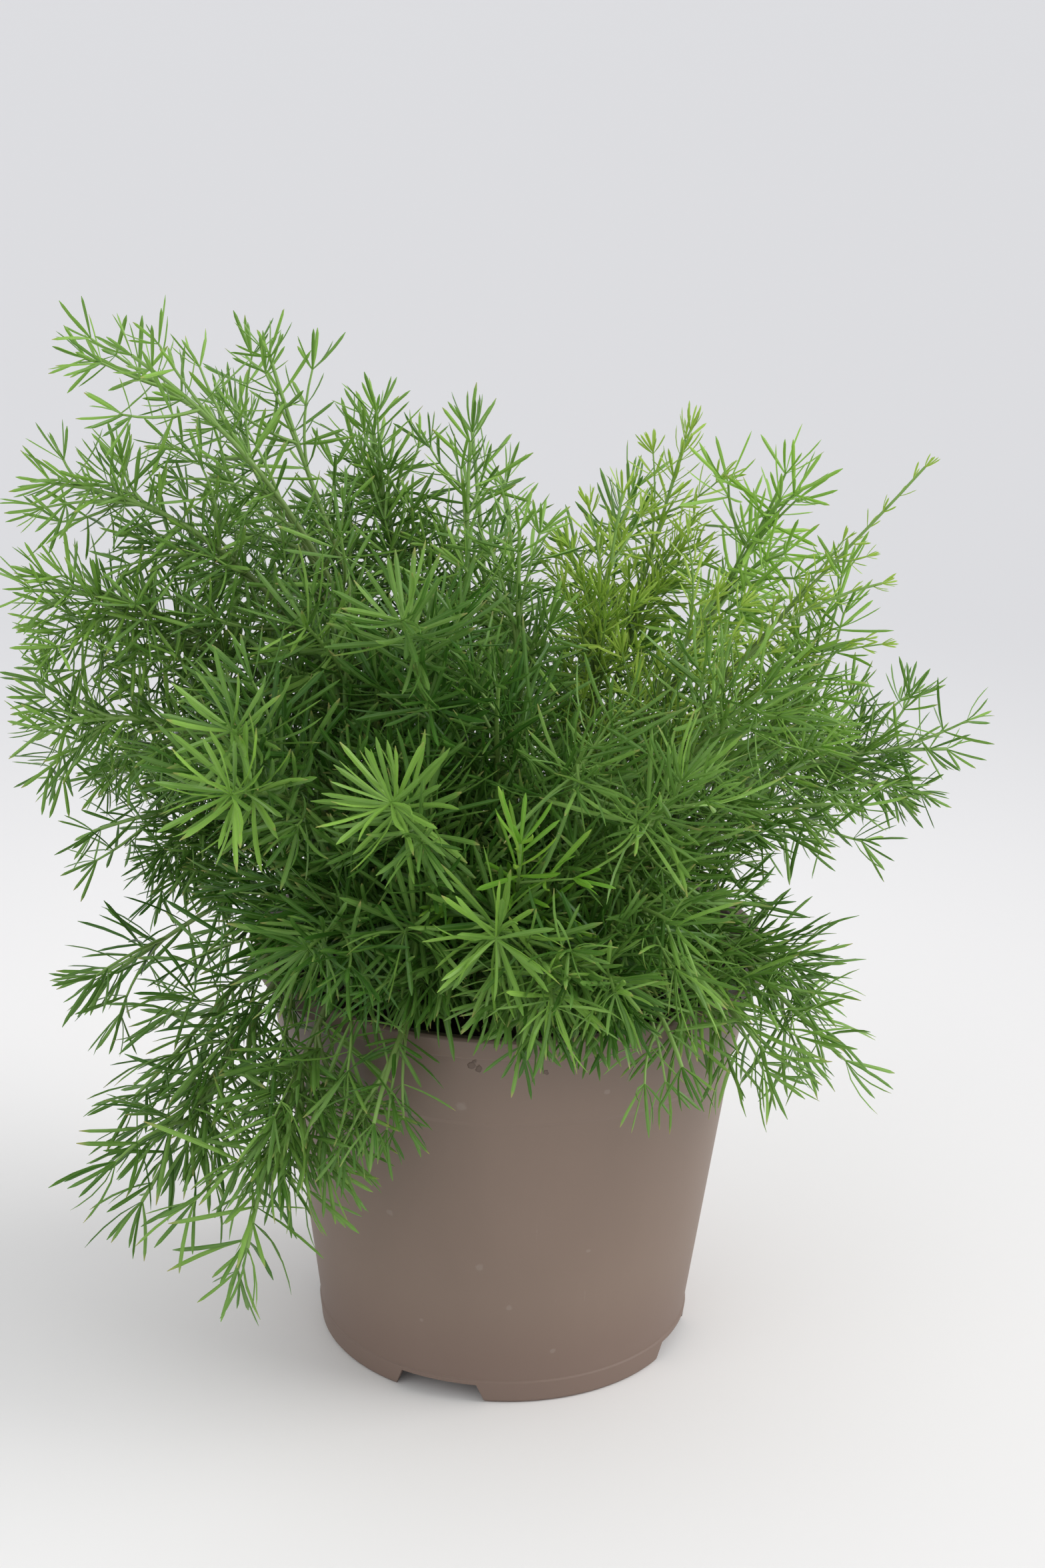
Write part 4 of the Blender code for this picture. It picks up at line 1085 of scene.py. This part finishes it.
def pot_material(settings):
    """Matt moulded plastic with faint flow marks, scuffs, dust, a little soil on the collar and painted
    shade on the collar under the foliage.
    """
    shader = Shader("taupe_pot_plastic")
    x, y, z = shader.axes(shader.place)
    front = y < 0
    cloud, flow, grain = shader.noise(14.0, 4.0), shader.noise((60, 60, 9)), shader.noise(2600.0, 2.0)
    shade = (0.5 + (cloud - 0.5) * 0.9 + (flow - 0.5) * 0.5 + (grain - 0.5) * 0.12).clamped()
    mottle = shader.noise(700.0, 2.0)
    base = shader.mix(shade, settings.dark_colour, settings.light_colour)
    # Painted shade: the collar below the rim is darkened where the foliage overhangs it
    painted_collar_shade = shader.ramp(z + (cloud - 0.5) * 0.01, 0.082, 0.1) * 0.5
    base = shader.mix(painted_collar_shade, base, tuple(channel * 0.84 for channel in settings.dark_colour))
    low = (1 - shader.ramp(z, 0.004, 0.034)) * 0.75
    base = shader.mix(low, base, settings.foot_colour)
    scratch = shader.noise((420, 420, 40), 4.0, 0.7)
    scuffs = shader.ramp(scratch, 0.66, 0.74) * shader.ramp(shader.noise(30.0), 0.5, 0.62)
    dusty = shader.mix(scuffs * 0.25, base, settings.dust_colour)
    foot = 1 - shader.ramp(z + (shader.noise(90.0) - 0.5) * 0.01, 0.001, 0.014)
    dusty = shader.mix(foot * 0.06, dusty, settings.dust_colour)
    specks = shader.value("ShaderNodeTexVoronoi", {"Vector": shader.place, "Scale": 210.0}, "Distance")
    soil_zone = shader.ramp(z, 0.078, 0.1) * shader.ramp(shader.noise(26.0, 2.0), 0.52, 0.64)
    speck = (1 - shader.ramp(specks, 0.08, 0.17)) * soil_zone

    def mark(right, up, size, core, raggedness):
        """A ragged spot on the front, solid in its core and fading to its edge."""
        away = ((x - right * MM) ** 2 + (z - up * MM) ** 2) ** 0.5 + (mottle - 0.5) * raggedness
        return (1 - shader.ramp(away, size * core * MM, size * MM)) * front

    for spot in POT_SOIL_BITS:
        speck = speck + mark(*spot, 0.6, 0.0022)
    for spot in POT_DUST_SPOTS:
        dusty = shader.mix(mark(*spot, 0.4, 0.001) * 0.28, dusty, settings.dust_colour)
    speck = speck.clamped()
    shader.set(Base_Color=shader.mix(speck * 0.7, dusty, (0.09, 0.058, 0.04)))
    shader.set(Roughness=0.5 + (cloud - 0.5) * 0.16 + scuffs * 0.15 + foot * 0.1)
    relief = shader.bump(grain * 0.35 + flow * 0.5, 0.00012, 0.5)
    shader.set(Normal=shader.bump(speck, 0.0004, 0.8, Normal=relief), Specular_IOR_Level=0.45)
    return shader.material


def soil_material(settings):
    """Dark damp peat with paler fibres and a few grains."""
    shader = Shader("dark_peat")
    lumps, crumbs = shader.noise(70.0, 6.0, 0.65), shader.noise(420.0, 5.0, 0.7)
    fibres = shader.noise((900, 260, 500), 3.0, 0.6)
    base = shader.mix(shader.ramp(lumps, 0.35, 0.7), settings.dark_colour, settings.light_colour)
    pale = shader.ramp(fibres, 0.62, 0.7) * 0.5
    shader.set(Base_Color=shader.mix(pale, base, settings.fibre_colour))
    shader.set(Roughness=0.86 + (crumbs - 0.5) * 0.25, Specular_IOR_Level=0.3)
    shader.set(Normal=shader.bump(crumbs + lumps * 0.6, 0.0012, 0.9))
    return shader.material


def floor_material(settings):
    """A pale floor with a painted pool of light: lighter near the plant, darker further off, and lighter
    again at its edge.
    """
    shader = Shader("pale_floor")
    mottle = shader.noise(3.0, 2.0)
    x, y, _ = shader.axes(shader.place)
    distance = (x * x + y * y) ** 0.5
    darker = tuple(channel * 0.97 for channel in settings.floor_colour)
    near = shader.mix(mottle, darker, settings.floor_colour)
    # Painted pool of light round the plant, fading to the darker far floor
    away = shader.mix(shader.ramp(distance, 0.05, 0.75), near, settings.far_colour)
    shader.set(Base_Color=shader.mix(shader.ramp(distance, 6.0, 13.0), away, settings.edge_colour))
    shader.set(Roughness=0.7 + (mottle - 0.5) * 0.1, Specular_IOR_Level=0.05)
    return shader.material


class Geometry(Graph):
    """A Geometry Nodes tree with named inputs, each given as its type and default."""

    def __init__(self, name, inputs):
        super().__init__(bpy.data.node_groups.new(name, "GeometryNodeTree"))
        sockets = self.tree.interface
        sockets.new_socket("Geometry", in_out="OUTPUT", socket_type="NodeSocketGeometry")
        for label, (kind, default) in ({"Geometry": ("Geometry", None)} | inputs).items():
            socket = sockets.new_socket(label, in_out="INPUT", socket_type="NodeSocket" + kind)
            if default is not None:
                socket.default_value = default
        self.source = self.add("NodeGroupInput").outputs
        self.result = self.add("NodeGroupOutput").inputs["Geometry"]

    def make(self, kind, inputs=None, **settings):
        """The output of a new geometry node."""
        return self.get("GeometryNode" + kind, inputs, **settings)

    def named(self, name, kind="FLOAT"):
        """A stored attribute's socket."""
        return self.make("InputNamedAttribute", {"Name": name}, data_type=kind)

    def keep(self, mesh, name, value, **settings):
        """A mesh with a value stored under a name."""
        inputs = {"Geometry": mesh, "Name": name, "Value": value}
        return self.make("StoreNamedAttribute", inputs, **settings)

    def paint(self, mesh, material):
        return self.make("SetMaterial", {"Geometry": mesh, "Material": self.source[material]})

    def join(self, *meshes):
        whole = self.add("GeometryNodeJoinGeometry")
        for mesh in meshes:
            self.feed(whole.inputs[0], mesh)
        return whole.outputs[0]


def blade(graph):
    """One straight needle of unit size: four-sided, widest low down, drawn out to a point."""
    inputs = {"Vertices": 4, "Side Segments": 4, "Radius": 0.5, "Depth": 1.0}
    mesh = graph.make("MeshCylinder", inputs, fill_type="NGON")
    x, y, z = graph.axes(graph.make("InputPosition"))
    step = z + 0.5
    along = 1 - (1 - step) ** 1.5
    profile = graph.add("ShaderNodeFloatCurve", {"Value": step})
    points = profile.mapping.curves[0].points
    while len(points) < len(BLADE_PROFILE):
        points.new(0.5, 0.5)
    for point, spot in zip(points, BLADE_PROFILE):
        point.location = spot
        point.handle_type = "VECTOR"
    profile.mapping.update()
    width = Value(graph, profile.outputs[0])
    shaped = graph.get("ShaderNodeCombineXYZ", {"X": x * width, "Y": y * width, "Z": along})
    mesh = graph.keep(mesh, "along", along)
    mesh = graph.keep(mesh, "across", abs(x) * 2)
    mesh = graph.keep(mesh, "sharp_edge", abs(y) < 0.01, data_type="BOOLEAN", domain="EDGE")
    return graph.make("SetPosition", {"Geometry": mesh, "Position": shaped})


def foliage_tree():
    """Turns a wire of twigs and needle points into tubes and curved needles."""
    graph = Geometry("leafy_stem", {
        "Twig Sides": ("Int", 6),
        "Needle Width": ("Float", 0.0012),
        "Needle Thickness": ("Float", 0.0004),
        "Stem Material": ("Material", None),
        "Needle Material": ("Material", None),
    })
    source, named = graph.source, graph.named
    wire = source["Geometry"]
    tubes = graph.make("CurveToMesh", {
        "Curve": graph.make("MeshToCurve", {"Mesh": wire}),
        "Profile Curve": graph.make("CurvePrimitiveCircle",
                                    {"Resolution": source["Twig Sides"], "Radius": 1.0}),
        "Scale": named("radius"),
        "Fill Caps": True,
    })
    spots = {"Geometry": wire, "Selection": named("is_needle", "BOOLEAN")}
    ways = {
        "Primary Axis": named("way", "FLOAT_VECTOR"),
        "Secondary Axis": named("face", "FLOAT_VECTOR"),
    }
    length = Value(graph, named("size"))
    broad = (length * (1 / USUAL_NEEDLE)) ** 0.5
    size = {
        "X": broad * source["Needle Width"],
        "Y": broad * source["Needle Thickness"],
        "Z": length,
    }
    needles = graph.make("InstanceOnPoints", {
        "Points": graph.make("SeparateGeometry", spots, domain="POINT"),
        "Instance": blade(graph),
        "Rotation": graph.get("FunctionNodeAxesToRotation", ways, primary_axis="Z", secondary_axis="Y"),
        "Scale": graph.get("ShaderNodeCombineXYZ", size),
    })
    needles = graph.make("RealizeInstances", {"Geometry": needles})
    along = Value(graph, named("along"))
    bend = graph.vector_math("SCALE", named("face", "FLOAT_VECTOR"), along * along * named("curl"))
    needles = graph.make("SetPosition", {"Geometry": needles, "Offset": bend})
    mesh = graph.join(graph.paint(needles, "Needle Material"), graph.paint(tubes, "Stem Material"))
    for name in ("way", "face", "size", "curl", "is_needle", "radius"):
        mesh = graph.make("RemoveAttribute", {"Geometry": mesh, "Name": name})
    graph.feed(graph.result, mesh)
    return graph.tree


def new_object(name, data):
    """An object with its data, in the scene."""
    thing = bpy.data.objects.new(name, data)
    bpy.context.scene.collection.objects.link(thing)
    return thing


def apply_modifiers(piece):
    """Gives a piece the plain mesh that its modifiers make of it."""
    before = piece.data
    graph = bpy.context.evaluated_depsgraph_get()
    mesh = bpy.data.meshes.new_from_object(piece.evaluated_get(graph))
    piece.modifiers.clear()
    piece.data = mesh
    bpy.data.meshes.remove(before)
    mesh.name = piece.name


def grow_through(piece, tree, values):
    """Runs a piece through a Geometry Nodes tree with named inputs and keeps the plain mesh."""
    modifier = piece.modifiers.new(tree.name, "NODES")
    modifier.node_group = tree
    sockets = {s.name: s.identifier for s in tree.interface.items_tree if s.in_out == "INPUT"}
    for name, value in values.items():
        modifier[sockets[name]] = value
    apply_modifiers(piece)


def stand_for(piece, node):
    """The piece rides on the root and stands in for a solid, which it hides."""
    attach(piece, "root")
    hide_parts(node)


def fillet(outline, radii, steps=4):
    """An outline of radius and height with its corners rounded, each by its own radius."""
    points = [np.array(point, float) for point in outline]
    rounded = [points[0]]
    for number in range(1, len(points) - 1):
        before, corner, after = points[number - 1:number + 2]
        if number not in radii:
            rounded.append(corner)
            continue
        into, away = unit(before - corner), unit(after - corner)
        half = math.acos(np.clip(into @ away, -1, 1)) / 2
        most = MOST_ROUNDING * min(np.linalg.norm(before - corner), np.linalg.norm(after - corner))
        reach = min(radii[number] / math.tan(half), most)
        rounded += list(curve(corner + into * reach, corner, corner + away * reach, steps))
    return rounded + [points[-1]]


def turned_mesh(name, outline, segments):
    """A mesh turned from an outline of radius and height that starts and ends on the axis."""
    angles = np.arange(segments) * 2 * math.pi / segments
    circle = np.stack([np.cos(angles), np.sin(angles), np.zeros(segments)], axis=1)
    rings = [circle * radius + UP * height for radius, height in outline[1:-1]]
    points = np.concatenate([*rings, UP[None] * outline[0][1], UP[None] * outline[-1][1]])
    bottom, top = len(points) - 2, len(points) - 1
    last = (len(rings) - 1) * segments
    faces = []
    for here in range(segments):
        beside = (here + 1) % segments
        faces += [(bottom, beside, here), (last + here, last + beside, top)]
        for low in range(0, last, segments):
            high = low + segments
            faces.append((low + here, low + beside, high + beside, high + here))
    mesh = bpy.data.meshes.new(name)
    mesh.from_pydata(points * MM, [], faces)
    return mesh


def notch_mesh(name, bearing):
    """A wedge that cuts a notch, narrower at its top, out of the foot at a bearing."""
    out = direction(bearing, 0)
    across = np.cross(UP, out)
    low, high = NOTCH_WIDTH / 2 + NOTCH_EASE, (NOTCH_WIDTH - NOTCH_NARROWING) / 2
    section = [(-low, -1.0), (low, -1.0), (high, NOTCH_HEIGHT), (-high, NOTCH_HEIGHT)]
    reaches = (FOOT_RADIUS - NOTCH_INNER, FOOT_RADIUS + NOTCH_OUTER)
    corners = [(out * reach + across * wide + UP * height) * MM
               for reach in reaches for wide, height in section]
    faces = [(3, 2, 1, 0), (4, 5, 6, 7), (0, 1, 5, 4), (1, 2, 6, 5), (2, 3, 7, 6), (3, 0, 4, 7)]
    mesh = bpy.data.meshes.new(name)
    mesh.from_pydata([tuple(corner) for corner in corners], [], faces)
    return mesh


def drain_mesh(name, bearing):
    """A drum that cuts a drain hole through the raised channel at a bearing."""
    low, high = CHANNEL_RISE - DRUM_REACH, CHANNEL_RISE + DRUM_REACH
    side = [(0, low), (DRAIN_RADIUS, low), (DRAIN_RADIUS, high), (0, high)]
    mesh = turned_mesh(name, side, DRAIN_SEGMENTS)
    mesh.transform(Matrix.Translation(Vector(direction(bearing, 0) * DRAIN_CIRCLE) * MM))
    return mesh


def cut(piece, cutters):
    """Cuts closed shapes out of a piece and removes them."""
    collection = bpy.data.collections.new(piece.name + "_cutters")
    bpy.context.scene.collection.children.link(collection)
    for mesh in cutters:
        collection.objects.link(bpy.data.objects.new(mesh.name, mesh))
    modifier = piece.modifiers.new("cut", "BOOLEAN")
    modifier.operation = "DIFFERENCE"
    modifier.operand_type = "COLLECTION"
    modifier.collection = collection
    modifier.solver = "EXACT"
    apply_modifiers(piece)
    for other in list(collection.objects):
        bpy.data.objects.remove(other, do_unlink=True)
    bpy.data.collections.remove(collection)


# Short forms for the properties of the settings below
def a_colour(name, description, *default):
    return FloatVectorProperty(name=name, description=description, subtype="COLOR", size=3,
                               default=default)


def a_length(name, description, default, least):
    return FloatProperty(name=name, description=description, subtype="DISTANCE", unit="LENGTH",
                         default=default, min=least)


def a_number(name, description, default):
    return FloatProperty(name=name, description=description, default=default, min=0.0)


def a_count(name, description, default, least=0):
    return IntProperty(name=name, description=description, default=default, min=least)


class PotSettings(bpy.types.PropertyGroup):
    """The pot's plastic and how finely it is turned."""

    segments: a_count("Segments", "Steps round the pot", 160, 24)
    dark_colour: a_colour("Dark plastic", "Darker tone of the mottled plastic", 0.186, 0.133, 0.102)
    light_colour: a_colour("Light plastic", "Lighter tone of the mottled plastic", 0.231, 0.167, 0.130)
    foot_colour: a_colour("Foot", "Redder tone of the plastic by the foot", 0.176, 0.118, 0.094)
    dust_colour: a_colour("Dust", "Dust and scuffs on the plastic", 0.33, 0.29, 0.25)


class SoilSettings(bpy.types.PropertyGroup):
    """The peat in the pot and its crumbs."""

    crumb_size: a_length("Crumb size", "Radius of the largest crumbs", 0.0016, 0.0002)
    crumb_density: a_number("Crumbs", "Crumbs on each square metre of soil", 260000.0)
    seed: a_count("Seed", "Sets where the crumbs lie", 5)
    dark_colour: a_colour("Dark peat", "Damp peat", 0.016, 0.011, 0.008)
    light_colour: a_colour("Light peat", "Drier peat", 0.055, 0.036, 0.024)
    fibre_colour: a_colour("Fibres", "Pale fibres in the peat", 0.16, 0.11, 0.07)


class FoliageSettings(bpy.types.PropertyGroup):
    """The needles, the side shoots and their greens."""

    seed: a_count("Seed", "Sets how the side shoots and needles lie", 23)
    needle_width: a_length("Needle width", "Width of a 16 mm needle", 0.00125, 0.0002)
    needle_thickness: a_length("Needle thickness", "Thickness of a 16 mm needle", 0.00042, 0.0001)
    tuft_spacing: a_length("Tuft spacing", "Distance between tufts of needles", 0.0038, 0.0005)
    side_shoot_spacing: a_length("Side shoot spacing", "Distance between the small side shoots",
                                 0.0075, 0.002)
    deep_green: a_colour("Deep green", "Darkest needles", 0.042, 0.132, 0.014)
    light_green: a_colour("Light green", "Lightest needles", 0.210, 0.374, 0.078)
    fresh_green: a_colour("Fresh green", "Needles of the youngest full-grown stems", 0.270, 0.500, 0.058)
    young_deep: a_colour("Young deep green", "Darkest young needles", 0.128, 0.305, 0.024)
    young_light: a_colour("Young light green", "Lightest young needles", 0.340, 0.500, 0.070)
    dry_tip: a_colour("Dry tip", "Straw colour of needle tips", 0.360, 0.300, 0.110)
    stem_root: a_colour("Stem root", "Straw colour of the stems by the soil", 0.230, 0.190, 0.080)
    stem_green: a_colour("Stem green", "Green of the stems among the needles", 0.110, 0.170, 0.035)


class StageSettings(bpy.types.PropertyGroup):
    """The floor and the lights."""

    floor_colour: a_colour("Floor", "Colour of the plain floor", 0.86, 0.85, 0.845)
    far_colour: a_colour("Far floor", "Colour of the floor some way behind", 0.615, 0.615, 0.63)
    edge_colour: a_colour("Floor's edge", "Colour of the floor at its edge", 0.70, 0.71, 0.73)
    key_strength: a_number("Key light", "Strength of the broad light on the right", 1.46)
    fill_strength: a_number("Fill light", "Strength of the soft light on the left", 0.3)
    sky_strength: a_number("Sky", "Strength of the even light from all round", 0.88)


class FERN_OT_pot(bpy.types.Operator):
    """Make the turned nursery pot with its bead, collar, skirt, notches and drain holes"""

    bl_idname = "fern.pot"
    bl_label = "Make the pot"

    def execute(self, context):
        settings = context.scene.fern_pot
        floor = CHANNEL_RISE + FLOOR_THICKNESS
        channel = PAD_RADIUS + PAD_SLOPE
        skirt = FOOT_RADIUS - FOOT_SLOPE - WALL
        outline = [(0, 0), (PAD_RADIUS, 0), (channel, CHANNEL_RISE), (skirt, CHANNEL_RISE)]
        outline += [(skirt, 0)] + pot_outline(COLLAR_DROP, COLLAR_SOFTNESS)
        outline += [(inner_radius(POT_HEIGHT), POT_HEIGHT - EDGE_SLOPE), (inner_radius(floor), floor)]
        outline += [(channel - 1, floor), (PAD_RADIUS - 1, FLOOR_THICKNESS), (0, FLOOR_THICKNESS)]
        mesh = turned_mesh("nursery_pot", fillet(outline, POT_CORNERS), settings.segments)
        pot = new_object("nursery_pot", mesh)
        cutters = [notch_mesh(f"notch_{number}", NOTCH_BEARING + number * 360 / NOTCH_COUNT)
                   for number in range(NOTCH_COUNT)]
        cutters += [drain_mesh(f"drain_{number}", DRAIN_BEARING + number * 360 / DRAIN_COUNT)
                    for number in range(DRAIN_COUNT)]
        cut(pot, cutters)
        pot.data.materials.clear()
        pot.data.materials.append(pot_material(settings))
        pot.data.shade_smooth()
        pot.data.set_sharp_from_angle(angle=SHARP_ANGLE)
        stand_for(pot, "pot")
        return {"FINISHED"}


def crumb_tree():
    """Scatters rough crumbs over the upper faces of the soil."""
    graph = Geometry("soil_crumbs", {
        "Crumb Size": ("Float", 0.0016),
        "Density": ("Float", 260000.0),
        "Seed": ("Int", 1),
        "Material": ("Material", None),
    })
    source = graph.source
    _, _, facing = graph.axes(graph.make("InputNormal"))
    _, _, height = graph.axes(graph.make("InputPosition"))
    top = (facing > 0.4) * (height > (POT_HEIGHT - SOIL_DROP - 4) * MM)
    wobble = graph.get("ShaderNodeTexNoise", {"Scale": 1.6, "Detail": 1.0}, "Color")
    turn = {"Min": (0, 0, 0), "Max": (6.28, 6.28, 6.28), "Seed": source["Seed"]}
    size = {"Min": 0.0, "Max": 1.0, "Seed": source["Seed"]}
    size = graph.value("FunctionNodeRandomValue", size, data_type="FLOAT")
    crumbs = graph.make("InstanceOnPoints", {
        "Points": graph.make("DistributePointsOnFaces", {
            "Mesh": source["Geometry"], "Selection": top, "Density": source["Density"],
            "Seed": source["Seed"],
        }),
        "Instance": graph.make("SetPosition", {
            "Geometry": graph.make("MeshIcoSphere", {"Radius": 1.0, "Subdivisions": 1}),
            "Offset": graph.vector_math("SUBTRACT", wobble, (0.5, 0.5, 0.5)),
        }),
        "Rotation": graph.get("FunctionNodeRandomValue", turn, data_type="FLOAT_VECTOR"),
        "Scale": (size ** 3 * 0.8 + 0.2) * source["Crumb Size"],
    })
    crumbs = graph.make("RealizeInstances", {"Geometry": crumbs})
    soil = graph.join(crumbs, source["Geometry"])
    smooth = graph.make("SetShadeSmooth", {"Geometry": soil, "Shade Smooth": True})
    graph.feed(graph.result, graph.paint(smooth, "Material"))
    return graph.tree


class FERN_OT_soil(bpy.types.Operator):
    """Make the peat that fills the pot, with its crumbs"""

    bl_idname = "fern.soil"
    bl_label = "Make the soil"

    def execute(self, context):
        settings = context.scene.fern_soil
        floor = CHANNEL_RISE + FLOOR_THICKNESS + GAP
        pad_top = FLOOR_THICKNESS + GAP
        edge = POT_HEIGHT - SOIL_DROP
        edge_radius = inner_radius(edge) - GAP
        outline = [(0, pad_top), (PAD_RADIUS - 1 - GAP, pad_top)]
        outline += [(PAD_RADIUS + PAD_SLOPE - 1 - GAP, floor), (inner_radius(floor) - GAP, floor)]
        outline += [(radius, edge) for radius in np.linspace(edge_radius, 0, SOIL_RINGS)]
        mesh = turned_mesh("peat", outline, SOIL_SEGMENTS)
        for vertex in mesh.vertices:
            x, y, z = (value / MM for value in vertex.co)
            if z > edge - 1 and math.hypot(x, y) < edge_radius - 0.5:
                fine = SOIL_RIPPLE * math.sin(x * 1.3 + 2 * math.sin(y * 0.7)) * math.cos(y * 1.1 - x * 0.4)
                vertex.co.z = (soil_height(x, y) + fine) * MM
        peat = new_object("peat", mesh)
        grow_through(peat, crumb_tree(), {
            "Crumb Size": settings.crumb_size,
            "Density": settings.crumb_density,
            "Seed": settings.seed,
            "Material": soil_material(settings),
        })
        stand_for(peat, "soil")
        return {"FINISHED"}


class FERN_OT_shoots(bpy.types.Operator):
    """Grow every leafy stem with its side shoots and needles"""

    bl_idname = "fern.shoots"
    bl_label = "Grow the leafy stems"

    def execute(self, context):
        settings = context.scene.fern_foliage
        tree = foliage_tree()
        stem = stem_material("wiry_stem", settings.stem_root, settings.stem_green, settings.light_green)
        greens = {
            False: needle_material("green_needles", settings.deep_green, settings.light_green,
                                   settings.fresh_green, settings.dry_tip),
            True: needle_material("young_needles", settings.young_deep, settings.young_light,
                                  settings.young_light, settings.young_light),
        }
        for order, shoot in enumerate(plan_shoots()):
            foliage = Foliage(shoot, order, settings)
            foliage.grow()
            piece = new_object("leafy_" + shoot.name, foliage.wire())
            grow_through(piece, tree, {
                "Twig Sides": TWIG_SIDES,
                "Needle Width": settings.needle_width * shoot.look.width,
                "Needle Thickness": settings.needle_thickness,
                "Stem Material": stem,
                "Needle Material": greens[shoot.young],
            })
            stand_for(piece, shoot.name)
        return {"FINISHED"}


def add_light(name, strength, spread, light_colour, place):
    """A soft light from the side of a place, so far off that it lights the floor evenly."""
    light = bpy.data.lights.new(name, "SUN")
    light.energy = strength
    light.angle = math.radians(spread)
    light.color = light_colour
    lamp = new_object(name, light)
    lamp.location = place
    lamp.rotation_euler = Vector(place).to_track_quat("Z", "Y").to_euler()


def add_camera():
    """The camera at its height and distance from the place that it looks at, a little rolled."""
    data = bpy.data.cameras.new("camera")
    data.lens = CAMERA_LENS
    camera = new_object("camera", data)
    back = Vector((0, -math.cos(CAMERA_ELEVATION), math.sin(CAMERA_ELEVATION)))
    right = Vector((1, 0, 0))
    turn = Matrix((right, back.cross(right), back)).transposed() @ Matrix.Rotation(CAMERA_ROLL, 3, "Z")
    place = Vector(CAMERA_AIM) + back * CAMERA_DISTANCE
    camera.matrix_world = Matrix.Translation(place) @ turn.to_4x4()
    return camera


class FERN_OT_stage(bpy.types.Operator):
    """Set the pale floor with its painted pool of light, the soft lights and the camera"""

    bl_idname = "fern.stage"
    bl_label = "Set the stage"

    def execute(self, context):
        scene = context.scene
        settings = scene.fern_stage
        corners = [(-1, -1), (1, -1), (1, 1), (-1, 1)]
        mesh = bpy.data.meshes.new("floor")
        points = [(x * FLOOR_REACH, y * FLOOR_REACH, -FLOOR_DEPTH) for x, y in corners]
        mesh.from_pydata(points, [], [(0, 1, 2, 3)])
        floor = new_object("floor", mesh)
        mesh.materials.append(floor_material(settings))
        add_light("window_light", settings.key_strength, *WINDOW_LIGHT)
        add_light("room_light", settings.fill_strength, *ROOM_LIGHT)
        scene.world = bpy.data.worlds.new("even_light")
        scene.world.use_nodes = True
        sky = scene.world.node_tree.nodes["Background"]
        sky.inputs["Color"].default_value = SKY_COLOUR
        sky.inputs["Strength"].default_value = settings.sky_strength
        scene.camera = add_camera()
        scene.view_settings.view_transform = "Standard"
        return {"FINISHED"}


class FERN_PT_panel(bpy.types.Panel):
    """Lists what the fern is made of"""

    bl_label = "Potted fern"
    bl_idname = "FERN_PT_panel"
    bl_space_type = "VIEW_3D"
    bl_region_type = "UI"
    bl_category = "Fern"

    def draw(self, context):
        for group, (settings, operator) in STEPS.items():
            box = self.layout.box()
            for name in settings.__annotations__:
                box.prop(getattr(context.scene, group), name)
            box.operator(operator.bl_idname)


# The groups of settings by their names in the scene, and the operator that each is for
STEPS = {
    "fern_pot": (PotSettings, FERN_OT_pot),
    "fern_soil": (SoilSettings, FERN_OT_soil),
    "fern_foliage": (FoliageSettings, FERN_OT_shoots),
    "fern_stage": (StageSettings, FERN_OT_stage),
}


def register():
    for group, (settings, operator) in STEPS.items():
        bpy.utils.register_class(settings)
        setattr(bpy.types.Scene, group, PointerProperty(type=settings))
        bpy.utils.register_class(operator)
    bpy.utils.register_class(FERN_PT_panel)


def unregister():
    bpy.utils.unregister_class(FERN_PT_panel)
    for group, (settings, operator) in STEPS.items():
        bpy.utils.unregister_class(operator)
        delattr(bpy.types.Scene, group)
        bpy.utils.unregister_class(settings)


def main():
    register()
    bpy.ops.fern.stage()
    bpy.ops.fern.pot()
    bpy.ops.fern.soil()
    bpy.ops.fern.shoots()


if __name__ == "__main__":
    main()
